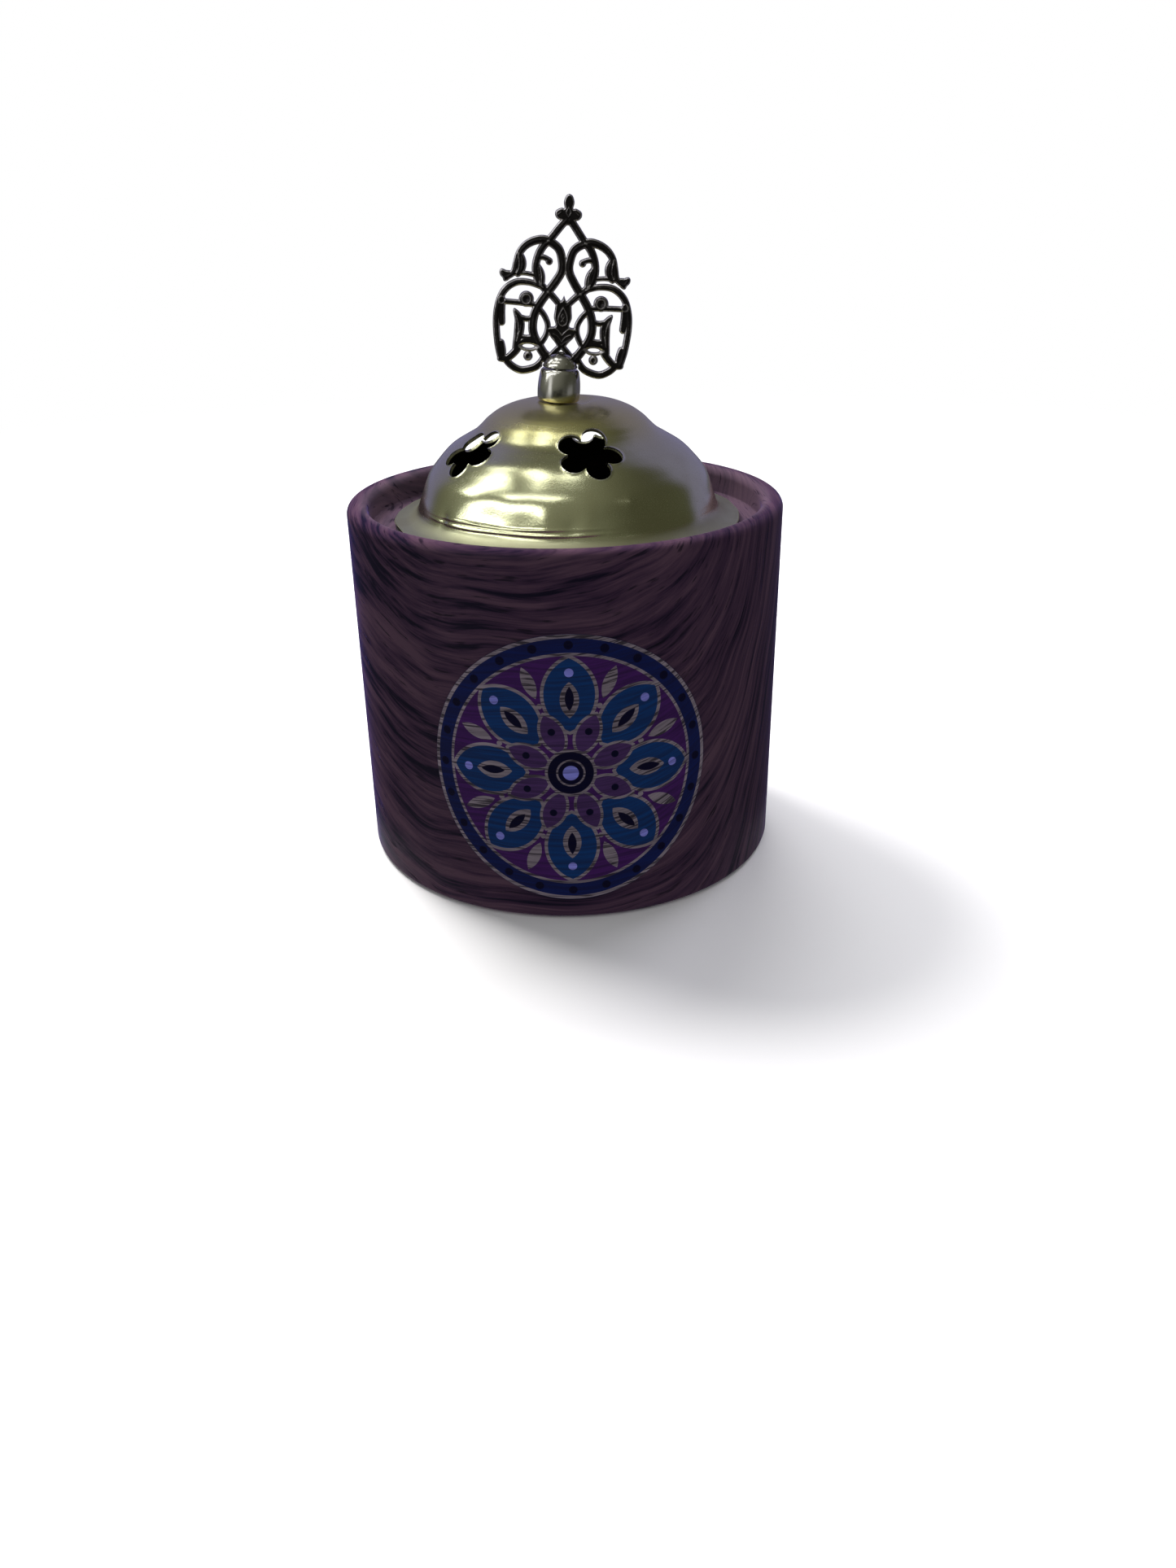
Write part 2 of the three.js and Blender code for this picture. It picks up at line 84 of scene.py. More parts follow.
# Lid
LID_DRIFT = 0.52
LID_UNDER_Z = 78.5
LID_RADIUS = 40
DOME_RADIUS = 35.9
DOME_FOOT_Z = 79.2
DOME_HEIGHT = 25.9
CREASE_Z = 83.1
CREASE_SOFT = 0.32
CREASE_RIDGES = [(-0.42, 0.17), (0.62, 0.1)]  # above the crease's middle, and how proud
CREASE_TURN, CREASE_REACH = -23, 0.61  # where it is sharp: degrees from the front, radians
DOME_PROFILE_SHARES = [
    [1, 0], [0.958, 0.1], [0.926, 0.22], [0.88, 0.38], [0.812, 0.5], [0.738, 0.6],
    [0.655, 0.67], [0.585, 0.725], [0.538, 0.78], [0.488, 0.845], [0.412, 0.913],
    [0.305, 0.965], [0.16, 0.993], [0, 1],
]
FLOWER_PLACE_SHARES = [[-0.365, 0.62], [-0.163, 0.652], [0.034, 0.685], [0.472, 0.6]]
FLOWER_PETALS = 5
FLOWER_REACH = 7.25
FLOWER_VALLEY = 3.9
FLOWER_TURN = -5
FLOWER_BELOW, FLOWER_ABOVE = -4, 3  # heights on the dome that set how a flower's plane leans
PETAL_ROUNDNESS = 0.58
COLLAR_RADIUS = 35.8
COLLAR_SHEET = 0.8
COLLAR_DROP = 4

# Finial
FINIAL_PLACE = (-1.08, 0, 104.35)
FINIAL_LEAN = 4.6
SEAT_RADIUS = 5.5
SCREW_HOLE_RADIUS = 1.8
BARREL_HEIGHT = 7
BARREL_FOOT_RADIUS = 4.6
BARREL_BELLY_RADIUS = 4.7
BARREL_NECK_RADIUS = 4.15
FOOT_ROUND, FOOT_FALL = 0.22, 0.12  # how far the end draws in, and over what height
NECK_ROUND, NECK_FALL = 0.3, 0.16
FIT_GAP = 0.3
CAP_RADIUS = 3.85
CAP_HEIGHT = 3.3
CAP_FLOOR = 0.5
CAP_ROUND = 0.2
SPIGOT_RADIUS = 1.5
SPIGOT_LENGTH = 1.4

# Filigree plate
PLATE_HALF_WIDTH = 15.7
PLATE_HEIGHT = 37
PLATE_THICKNESS = 1.6
PLATE_FOOT = 5.15

# Camera and studio

CAMERA_PLACE = (0, -0.292392, 0.15088)
CAMERA_PITCH = math.radians(25.858)
CAMERA_YAW = math.radians(-0.849)
CAMERA_ROLL = math.radians(-0.83)
CAMERA_LENS = 29.106
SENSOR = 36


def camera():
    """The camera at the photograph's place: looking along +Y, turned by the yaw, pitched
    down and rolled about its own line of sight."""
    data = bpy.data.cameras.new("camera")
    data.lens, data.sensor_width = CAMERA_LENS, SENSOR
    data.clip_start, data.clip_end = 0.01, 50
    eye = bpy.data.objects.new("camera", data)
    eye.matrix_world = (Matrix.Translation(CAMERA_PLACE) @ Matrix.Rotation(CAMERA_YAW, 4, "Z")
                        @ Matrix.Rotation(math.pi / 2 - CAMERA_PITCH, 4, "X")
                        @ Matrix.Rotation(CAMERA_ROLL, 4, "Z"))
    bpy.context.scene.collection.objects.link(eye)
    bpy.context.scene.camera = eye


camera()
bpy.context.scene.view_settings.view_transform = "Standard"

# Materials as expressions


class Value:
    """A socket in a tree of nodes. Sums, products and powers of values add Math nodes."""

    def __init__(self, nodes, socket):
        self.nodes, self.socket = nodes, socket

    def math(self, operation, *rest):
        return self.nodes.math(operation, self, *rest)

    def __add__(self, other):
        return self.math("ADD", other)

    def __sub__(self, other):
        return self.math("SUBTRACT", other)

    def __rsub__(self, other):
        return self.nodes.math("SUBTRACT", other, self)

    def __mul__(self, other):
        return self.math("MULTIPLY", other)

    def __truediv__(self, other):
        return self.math("DIVIDE", other)

    def __rtruediv__(self, other):
        return self.nodes.math("DIVIDE", other, self)

    def __pow__(self, other):
        return self.math("POWER", other)

    __radd__, __rmul__ = __add__, __mul__

    def above(self, low, high):
        """0 below low, 1 above high, smooth between."""
        return self.nodes.node("ShaderNodeMapRange", {"interpolation_type": "SMOOTHSTEP"},
                               {0: self, 1: low, 2: high})


def rgba(colour):
    """A colour as a socket takes it: with an alpha of 1, or a value as it is."""
    return colour if isinstance(colour, Value) else (*colour, 1)


class Nodes:
    """Adds nodes to a tree."""

    def __init__(self, tree):
        self.tree = tree

    def feed(self, socket, value):
        """Links a value to a socket, or sets a constant on it."""
        if isinstance(value, Value):
            self.tree.links.new(value.socket, socket)
        else:
            socket.default_value = value

    def node(self, kind, settings=None, sockets=None, out=0):
        """Any node: its settings first, then the values or links of its sockets."""
        made = self.tree.nodes.new(kind)
        for key, value in (settings or {}).items():
            if key == "stops":
                ramp = made.color_ramp.elements
                while len(ramp) < len(value):
                    ramp.new(0.5)
                for stop, (place, colour) in zip(ramp, value):
                    stop.position = place
                    stop.color = rgba(colour)
            else:
                setattr(made, key, value)
        for key, value in (sockets or {}).items():
            self.feed(made.inputs[key], value)
        return Value(self, made.outputs[out])

    def math(self, operation, *values):
        return self.node("ShaderNodeMath", {"operation": operation}, dict(enumerate(values)))

    def vector(self, operation, sockets, out=0):
        return self.node("ShaderNodeVectorMath", {"operation": operation}, sockets, out)

    def place(self):
        """Object coordinates in millimetres, as a vector."""
        where = self.node("ShaderNodeTexCoord", out="Object")
        return self.vector("SCALE", {0: where, "Scale": 1 / MM})

    def split(self, vector):
        parts = self.node("ShaderNodeSeparateXYZ", None, {0: vector})
        return [Value(self, socket) for socket in parts.socket.node.outputs]

    def join(self, x, y, z):
        return self.node("ShaderNodeCombineXYZ", None, {0: x, 1: y, 2: z})

    def noise(self, vector, scale, detail=2, roughness=0.5):
        return self.node("ShaderNodeTexNoise", None, {
            "Vector": vector, "Scale": scale, "Detail": detail, "Roughness": roughness})

    def mix(self, share, first, second):
        """From the first colour at share 0 to the second at share 1."""
        return self.node("ShaderNodeMix", {"data_type": "RGBA"},
                         {0: share, 6: rgba(first), 7: rgba(second)}, 2)


class Finish(Nodes):
    """A material: one Principled shader, its constant sockets, and the nodes that feed it."""

    def __init__(self, name, **constants):
        self.material = bpy.data.materials.new(name)
        self.material.use_nodes = True
        super().__init__(self.material.node_tree)
        self.shader = self.tree.nodes["Principled BSDF"]
        for socket, value in constants.items():
            self.set(socket.replace("_", " "), value)

    def set(self, socket, value):
        """Feeds a socket of the Principled shader."""
        self.feed(self.shader.inputs[socket], value)

    def mark(self, name):
        """A number per point that piece() stored on the mesh."""
        return self.node("ShaderNodeAttribute", {"attribute_name": name}, None, "Fac")

    def bump(self, height, depth):
        """Feeds Normal from a height of 0 to 1 that stands for a depth in millimetres."""
        self.set("Normal", self.node("ShaderNodeBump", None, {
            "Strength": 1, "Distance": depth * MM, "Height": height}))

    def show(self, shader):
        """Takes another shader in place of the Principled one."""
        self.feed(self.tree.nodes["Material Output"].inputs[0], shader)

    def glow(self, colour, level=1.0):
        """Gives light and nothing else."""
        self.show(self.node("ShaderNodeEmission", None, {"Color": rgba(colour), "Strength": level}))


# Surfaces


def surface(name, points, faces, material):
    """Puts points (n, 3) in metres and arrays of triangles or quads into a mesh object."""
    mesh = bpy.data.meshes.new(name)
    loops = np.concatenate([f.ravel() for f in faces])
    sizes = np.concatenate([np.full(len(f), f.shape[1]) for f in faces])
    mesh.vertices.add(len(points))
    mesh.vertices.foreach_set("co", np.asarray(points, dtype=np.float32).ravel())
    mesh.loops.add(len(loops))
    mesh.loops.foreach_set("vertex_index", loops.astype(np.int32))
    mesh.polygons.add(len(sizes))
    mesh.polygons.foreach_set("loop_start", (np.cumsum(sizes) - sizes).astype(np.int32))
    mesh.polygons.foreach_set("use_smooth", np.ones(len(sizes), dtype=bool))
    mesh.update(calc_edges=True)
    mesh.validate()
    mesh.materials.append(material)
    made = bpy.data.objects.new(name, mesh)
    bpy.context.scene.collection.objects.link(made)
    return made


def piece(name, body, finish, points, faces, replaced=(), marks=None, sharp=35):
    """Makes a surface of points in millimetres a part of the object, which rides on a body
    and stands for the replaced nodes. marks are numbers per point that the finish reads."""
    made = surface(name, points * MM, faces, finish.material)
    for key, values in (marks or {}).items():
        made.data.attributes.new(key, "FLOAT", "POINT").data.foreach_set(
            "value", values.astype(np.float32))
    made.data.set_sharp_from_angle(angle=math.radians(sharp))
    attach(made, body)
    if replaced:
        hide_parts(*replaced)


def grid(rows, columns, closed=True):
    """Quads of a grid whose point (i, j) is i * columns + j. A closed grid also joins its
    last column to its first."""
    i, j = np.meshgrid(np.arange(rows - 1), np.arange(columns - (not closed)), indexing="ij")
    n = (j + 1) % columns
    corners = [i * columns + j, i * columns + n, (i + 1) * columns + n, (i + 1) * columns + j]
    return np.stack(corners, axis=-1).reshape(-1, 4)


def halved(quads):
    """Each quad as two triangles."""
    return np.vstack([quads[:, :3], quads[:, [0, 2, 3]]])


def strip(first, second):
    """Triangles between two rows of as many points."""
    return halved(np.column_stack([first[:-1], first[1:], second[1:], second[:-1]]))


def fan(row, tip):
    """Triangles from each step of a row to one point."""
    return np.column_stack([row[:-1], row[1:], np.full(len(row) - 1, tip)])


def ring(count):
    """The places of a number of points, with the first again at the end."""
    return np.append(np.arange(count), 0)


def turned(r, z, angles):
    """Points at a radius and height, and at angles from the front: (r sin a, -r cos a, z)."""
    return np.stack([r * np.sin(angles), -r * np.cos(angles), z + 0 * angles], axis=-1)


def arc(r, z, radius, start, end, steps):
    """Points at a radius about (r, z), from one angle to another in degrees."""
    t = np.radians(np.linspace(start, end, steps + 1))
    return np.column_stack([r + radius * np.cos(t), z + radius * np.sin(t)])


def dense(profile, spacing):
    """The profile with points added on its straight runs, at most a spacing apart."""
    profile = np.asarray(profile, dtype=float)
    parts = []
    for a, b in zip(profile[:-1], profile[1:]):
        count = max(int(np.ceil(np.linalg.norm(b - a) / spacing)), 1)
        parts.append(a + (b - a) * np.arange(count)[:, None] / count)
    return np.vstack([*parts, profile[-1:]])


def revolved(profile, steps, looped=False):
    """A profile of (r, z) turned round Z: point (i, j) is (r_i sin a_j, -r_i cos a_j, z_i).
    The profile runs so that the solid lies on its left. It starts and ends on the axis, or
    is a closed loop. Returns points and faces."""
    a = 2 * np.pi * np.arange(steps) / steps
    points = turned(profile[:, :1], profile[:, 1:], a).reshape(-1, 3)
    rows = len(profile)
    if looped:
        return points, [grid(rows + 1, steps) % len(points)]
    end = (rows - 2) * steps
    caps = np.vstack([fan(ring(steps)[::-1], end), fan(end - steps + ring(steps), end + 1)])
    return np.vstack([points[steps:-steps], points[:1], points[-1:]]), [grid(rows - 2, steps), caps]


def cut(triangles, field):
    """Keeps the part of each triangle where the field is above 0. A triangle with one such
    corner leaves one, and one with two leaves two. Returns the triangles, the crossings as
    (from, to, share) and the new border as pairs of points."""
    keep = field[triangles] > 0
    count = keep.sum(axis=1)

    def starting(rows, first):
        """Each triangle's corners, from a given one on."""
        return np.take_along_axis(rows, (first[:, None] + np.arange(3)) % 3, axis=1)

    one = starting(triangles[count == 1], keep[count == 1].argmax(axis=1))
    two = starting(triangles[count == 2], keep[count == 2].argmin(axis=1))
    ends = np.vstack([one[:, [0, 1]], one[:, [0, 2]], two[:, [0, 1]], two[:, [0, 2]]])
    pairs, index = np.unique(np.sort(ends, axis=1), axis=0, return_inverse=True)
    index = index.ravel() + len(field)
    p1, q1 = index[:len(one)], index[len(one):2 * len(one)]
    p2, q2 = np.split(index[2 * len(one):], 2)
    a, b = pairs.T
    share = np.clip(field[a] / (field[a] - field[b]), 0.02, 0.98)
    parts = [
        triangles[count == 3],
        np.column_stack([one[:, 0], p1, q1]),
        np.column_stack([two[:, 1], two[:, 2], q2]),
        np.column_stack([two[:, 1], q2, p2]),
    ]
    border = np.vstack([np.column_stack([p1, q1]), np.column_stack([q2, p2])])
    return np.vstack(parts), (a, b, share), border


def crossed(values, crossings):
    """Values per point, with those of the crossings added at their end."""
    a, b, share = crossings
    share = share.reshape(-1, *[1] * (values.ndim - 1))
    return np.concatenate([values, values[a] + (values[b] - values[a]) * share])


def walled(front, back, triangles, borders):
    """A sheet between a front and a back with the same points: the front's triangles, the
    back's turned round, and a wall along each border pair. Unused points are dropped."""
    n = len(front)
    a, b = borders.T
    faces = np.vstack([
        triangles, triangles[:, ::-1] + n,
        np.column_stack([b, a, a + n]), np.column_stack([b, a + n, b + n]),
    ])
    used, faces = np.unique(faces, return_inverse=True)
    return np.vstack([front, back])[used], faces.reshape(-1, 3), used


def spline(knots, steps):
    """A Catmull-Rom curve through the knots, with a number of steps between two of them."""
    knots = np.asarray(knots, dtype=float)
    padded = np.vstack([knots[:1], knots, knots[-1:]])
    t = np.arange(steps)[:, None] / steps
    runs = []
    for p0, p1, p2, p3 in zip(padded, padded[1:], padded[2:], padded[3:]):
        v0, v1 = (p2 - p0) / 2, (p3 - p1) / 2
        runs.append((2 * p1 - 2 * p2 + v0 + v1) * t ** 3
                    + (-3 * p1 + 3 * p2 - 2 * v0 - v1) * t ** 2 + v0 * t + p1)
    return np.vstack([*runs, knots[-1:]])


def smooth(x):
    """0 at 0 and below, 1 at 1 and above, and 3x^2 - 2x^3 between."""
    x = np.clip(x, 0, 1)
    return x * x * (3 - 2 * x)


def finial_placed(points):
    """From the finial's own frame to the lid's: leaned about Y, then moved on to its seat."""
    lean = math.radians(FINIAL_LEAN)
    x, y, z = points.T
    return np.column_stack([
        x * math.cos(lean) + z * math.sin(lean), y,
        -x * math.sin(lean) + z * math.cos(lean)]) + FINIAL_PLACE


# Wood

# The grain's layers seen from the front: rings about a point high above the cup, with the
# width warped so that they climb steeply on the right
GRAIN_TURN_X = -18
GRAIN_CENTRE_Z = 128
GRAIN_STEEP = 245
GRAIN_STEEP_RUN = 54
GRAIN_STEEP_POWER = 6
GRAIN_BEND = 0.45
GRAIN_LEFT_BEND = 90
GRAIN_LEFT_RUN = 31

WOOD_DARK = (0.0066, 0.004, 0.0165)
WOOD_MIDDLE = (0.034, 0.015, 0.038)
WOOD_LIGHT = (0.078, 0.04, 0.066)
WOOD_PORE = (0.0064, 0.0042, 0.012)
# painted light, for the recess and the inner half of the lip
WOOD_PAINTED_LIGHT = (0.122, 0.082, 0.108)
WOOD_BLOOM = (0.2, 0.15, 0.9, 1)
WOOD_MEAN = 0.49  # the middle of the grain's noise


def grain(finish):
    """Distance across the layers and along them, in millimetres. With x' the distance from
    the turning point, the layers are the circles w^2 + (top - z)^2 = g^2, where w^2 / 2 is
    a square of x' plus a high power of it on each side."""
    place = finish.place()
    sway = finish.noise(place, 0.02, 2)
    x, y, z = finish.split(place)
    x = x + (sway - 0.5) * 9 + y * 0.06
    z = z + (finish.noise(place, 0.045, 1) - 0.5) * 5
    run = x - GRAIN_TURN_X
    right = run.math("MAXIMUM", 0)
    left = (0 - run).math("MAXIMUM", 0)
    half = (run * run * (GRAIN_BEND / 2)
            + (right / GRAIN_STEEP_RUN) ** (GRAIN_STEEP_POWER + 1)
            * (GRAIN_STEEP * GRAIN_STEEP_RUN / (GRAIN_STEEP_POWER + 1))
            + (left / GRAIN_LEFT_RUN) ** 4 * (GRAIN_LEFT_BEND * GRAIN_LEFT_RUN / 4))
    fall = GRAIN_CENTRE_Z - z
    across = (half * 2 + fall * fall) ** 0.5
    side = (half * 2) ** 0.5 * run.math("SIGN")
    along = side.math("ARCTAN2", fall) * 90
    return across, along, y


def walnut():
    """Dark, open-grained wood: broad bands, smooth dark streaks along the grain, fine fibres,
    and longer pores that are a little sunk. Grazing light gives its edges a violet bloom. The
    recess and the inner half of the lip are painted paler as painted light, least at the front,
    where painted shade is kept."""
    finish = Finish("walnut", Specular_IOR_Level=0.07, Sheen_Weight=0.18, Sheen_Roughness=0.17,
                    Sheen_Tint=WOOD_BLOOM)
    across, along, y = grain(finish)
    bands = finish.noise(finish.join(across * 0.14, along * 0.008, y * 0.02), 1)
    streaks = finish.noise(finish.join(across * 0.5, along * 0.03, y * 0.04), 1, 4, 0.6)
    fibres = finish.noise(finish.join(across * 2.6, along * 0.06, y * 0.1), 1, 2, 0.6)
    pores = finish.noise(finish.join(across * 1.1, along * 0.11, y * 0.1), 1, 2, 0.55)
    pore = pores.above(0.6, 0.72)
    tone = bands * 0.3 + streaks * 0.55 + fibres * 0.15
    # the figure is fainter on the right
    x, y, z = finish.split(finish.place())
    tone = WOOD_MEAN + (tone - WOOD_MEAN) * (1 - 0.3 * x.above(5, 35))
    colour = finish.node("ShaderNodeValToRGB", {"stops": [
        (0.425, WOOD_DARK), (0.475, WOOD_MIDDLE), (0.59, WOOD_LIGHT)]}, {0: tone})
    # painted light: the recess and the inner half of the lip paler, least at the front, where
    # painted shade is kept
    lit_rim = (1 - ((x * x + y * y) ** 0.5).above(45.6, 48.2)) * (0.15 + y.above(-46, -28) * 0.85)
    colour = finish.mix(lit_rim * (0.25 + streaks * 0.5), colour, WOOD_PAINTED_LIGHT)
    finish.set("Base Color", finish.mix(pore * 0.8, colour, WOOD_PORE))
    finish.set("Roughness", 0.5 + streaks * 0.1 + pore * 0.2)
    finish.bump(fibres * 0.2 - pore, 0.04)
    return finish


def wooden_cup():
    """The cup's profile turned round Z: flat base, small round, straight wall, rounded lip,
    recess, ledge and round-floored well."""
    low, high = CUP_BASE_ROUND, CUP_HEIGHT - LIP_ROUND
    floor = WELL_FLOOR_ROUND
    profile = np.vstack([
        [[0, 0]],
        arc(CUP_RADIUS - CUP_BASE_TAPER - low, low, low, -90, 0, 8),
        arc(CUP_RADIUS - LIP_ROUND, high, LIP_ROUND, 0, 90, 10),
        arc(RECESS_RADIUS + LIP_ROUND, high, LIP_ROUND, 90, 180, 10),
        arc(RECESS_RADIUS - LEDGE_ROUND, LEDGE_Z + LEDGE_ROUND, LEDGE_ROUND, 0, -90, 3),
        arc(WELL_RADIUS + LEDGE_ROUND, LEDGE_Z - LEDGE_ROUND, LEDGE_ROUND, 90, 180, 3),
        arc(WELL_RADIUS - floor, WELL_FLOOR_Z + floor, floor, 0, -90, 10),
        [[0, WELL_FLOOR_Z]],
    ])
    points, faces = revolved(dense(profile, 4), 256)
    piece("cup", "cup", walnut(), points, faces, ["wooden_cup"])


# Print

TEAL = (0.003, 0.034, 0.145)
SLATE = (0.004, 0.01, 0.08)
NAVY = (0.0015, 0.0015, 0.022)
PURPLE = (0.052, 0.01, 0.105)
MAUVE = (0.062, 0.026, 0.11)
LILAC = (0.23, 0.235, 0.72)
GOLD = (0.3, 0.25, 0.3)
EDGE = 0.06  # half the width over which two inks meet


def vesica(x, y, start, end, half_width):
    """Depth inside a pointed oval between two circles, along x from start to end."""
    half = (end - start) / 2
    radius = (half * half + half_width * half_width) / (2 * half_width)
    lift = y + (radius - half_width)
    shift = x - (start + end) / 2
    return radius - (shift * shift + lift * lift) ** 0.5


def disc(x, y, middle, radius):
    """Depth inside a circle whose middle lies along x."""
    shift = x - middle
    return radius - (shift * shift + y * y) ** 0.5


def print_ink():
    """An eight-fold rosette in flat inks and pale gold lines, unrolled from the cup's side.
    Each form is folded into one sector: x runs along its axis and y across it. The wood's
    pores show through the gold."""
    finish = Finish("print_ink", Specular_IOR_Level=0.06)
    x, y, z = finish.split(finish.place())
    u = x.math("ARCTAN2", 0 - y) * CUP_RADIUS
    v = z - PRINT_Z
    r = (u * u + v * v) ** 0.5
    turn = u.math("ARCTAN2", v) / (2 * math.pi)

    def fold(count, start=0.0):
        """Along and across the nearest of a number of equal rays."""
        share = (turn * count + (start + 0.5)).math("FRACT") - 0.5
        angle = share.math("ABSOLUTE") * (2 * math.pi / count)
        return r * angle.math("COSINE"), r * angle.math("SINE")

    def inside(depth):
        """1 where the depth is above 0."""
        return depth.above(-EDGE, EDGE)

    def line(depth, half_width):
        """1 along the edge where the depth is 0."""
        return (half_width - depth.math("ABSOLUTE")).above(-EDGE, EDGE)

    main, between, fine = fold(8), fold(8, 0.5), fold(24)
    petal = vesica(*main, 9.2, 26.2, 5.7)
    heart = vesica(*between, 4.6, 14.6, 2.6)
    band, eye = r - 26.6, r - 5.2
    colour, gold = PURPLE, 0
    for depth, ink in (
            (band, SLATE), (disc(*fine, 28.6, 0.95), NAVY),
            (vesica(*between, 18.2, 25.6, 1.35), GOLD), (disc(*between, 16.4, 0.6), GOLD),
            (petal, TEAL), (disc(*main, 22.6, 0.95), LILAC),
            (vesica(*main, 12.6, 20.6, 2.0), GOLD), (vesica(*main, 14.2, 19.6, 0.95), NAVY),
            (heart, MAUVE), (disc(*between, 10.2, 0.8), NAVY),
            (0 - eye, NAVY), (1.7 - r, LILAC)):
        colour = finish.mix(inside(depth), colour, ink)
        gold = gold + inside(depth) if ink is GOLD else gold * (1 - inside(depth))
    for depth, half_width in (
            (r - 30.45, 0.4), (band, 0.32), (petal, 0.36), (heart, 0.3), (eye, 0.3), (r - 2.9, 0.2)):
        mask = line(depth, half_width)
        if depth is petal:
            mask = mask * (1 - inside(heart))
        if depth is petal or depth is heart:
            mask = mask * inside(eye)
        colour = finish.mix(mask, colour, GOLD)
        gold = gold + mask
    gold = gold.math("MINIMUM", 1)
    across, along, depth = grain(finish)
    pores = finish.noise(finish.join(across * 2.2, along * 0.14, depth * 0.12), 1)
    worn = finish.noise(finish.join(across * 1.6, along * 0.05, depth * 0.1), 1, 3, 0.6)
    bare = pores.above(0.5, 0.6) * 0.8
    shade = finish.mix(worn.above(0.35, 0.65) * 0.4, colour, WOOD_DARK)
    finish.set("Base Color", finish.mix(bare * (gold * 0.75 + 0.25), shade, WOOD_PORE))
    finish.set("Metallic", gold * 0.35)
    finish.set("Roughness", 0.55 - gold * 0.12 + bare * 0.15)
    finish.bump(gold * 0.4 - bare, 0.02)
    return finish


def medallion():
    """A thin disc wrapped on the cup's side. A point with the unrolled place u, v lies at
    x = R sin(u / R), y = -R cos(u / R)."""
    rings, steps = 40, 256
    distance = np.linspace(0, PRINT_RADIUS, rings + 1)[1:, None]
    a = 2 * np.pi * np.arange(steps) / steps
    u, v = np.append(distance * np.cos(a), 0), np.append(distance * np.sin(a), 0)
    points = np.vstack([turned(radius, PRINT_Z + v, u / CUP_RADIUS)
                        for radius in (PRINT_TOP, PRINT_BOTTOM)])
    back = len(u)
    quads = grid(rings, steps)[:, ::-1]
    hub = fan(ring(steps), back - 1)
    rim = (rings - 1) * steps + ring(steps)
    piece("medallion", "cup", print_ink(), points, [
        quads, quads[:, ::-1] + back,
        np.vstack([hub, hub[:, ::-1] + back, strip(rim + back, rim)])])


# Sheet metal

BRASS = (0.76, 0.78, 0.5)
BRASS_CLOUD = (0.66, 0.66, 0.4)
BRASS_CROWN = (0.72, 0.67, 0.3)
BRASS_SPECK = (0.42, 0.4, 0.24)
FLANGE_PAINTED_SHADE = (0.42, 0.41, 0.27)
CUT_EDGE_HIGHLIGHT = (0.92, 0.92, 0.84)
SOOT = (0.03, 0.026, 0.018)
BOWL_GREY = (0.34, 0.33, 0.31)
BOWL_DULL = (0.22, 0.21, 0.19)


def lid_brass():
    """Pale lacquered brass: a satin of fine orange peel, with duller and browner clouds. The
    flange and the cove above it are duller, and darker with painted shade, most in front. The
    mark "under" is 1 on the lid's sooty underside, and "burr" is 1 at the flowers' cut edges,
    which are painted pale as bare metal and as a painted highlight."""
    finish = Finish("lid_brass", Metallic=1)
    place = finish.place()
    x, y, z = finish.split(place)
    clouds = finish.noise(place, 0.06, 3, 0.55)
    specks = finish.noise(place, 3.2, 1).above(0.66, 0.74)
    under = finish.mark("under")
    flange = 1 - z.above(80.4, 82.6)
    tone = finish.mix(clouds.above(0.35, 0.65), BRASS, BRASS_CLOUD)
    tone = finish.mix(z.above(95, 103), tone, BRASS_CROWN)
    tone = finish.mix(specks * 0.35, tone, BRASS_SPECK)
    # the cut edges painted near white: bare metal and a painted highlight
    tone = finish.mix(finish.mark("burr").above(0.3, 0.9) * 0.8, tone, CUT_EDGE_HIGHLIGHT)
    # painted shade: the flange and the cove darker, most in front
    tone = finish.mix(flange * (0.85 - y.above(-38, -26) * 0.5), tone, FLANGE_PAINTED_SHADE)
    # the cut edges stay bright, and the soot starts behind them
    finish.set("Base Color", finish.mix(under.above(0.7, 1), tone, SOOT))
    finish.set("Roughness", 0.13 + clouds * 0.11 + specks * 0.12 + under * 0.4
               + z.above(97, 103) * 0.1 + flange * 0.32)
    finish.bump(finish.noise(place, 2.3, 3, 0.65), 0.015)
    return finish


def bowl_metal():
    """Spun sheet: fine rings round the axis over a dull grey."""
    finish = Finish("bowl_metal", Metallic=1)
    place = finish.place()
    x, y, z = finish.split(place)
    spun = finish.noise(finish.join((x * x + y * y) ** 0.5 * 1.2, z * 1.2, 0), 3, 3, 0.6)
    clouds = finish.noise(place, 0.05, 3)
    finish.set("Base Color", finish.mix(clouds.above(0.3, 0.7), BOWL_GREY, BOWL_DULL))
    finish.set("Roughness", 0.3 + spun * 0.2)
    finish.bump(spun, 0.02)
    return finish


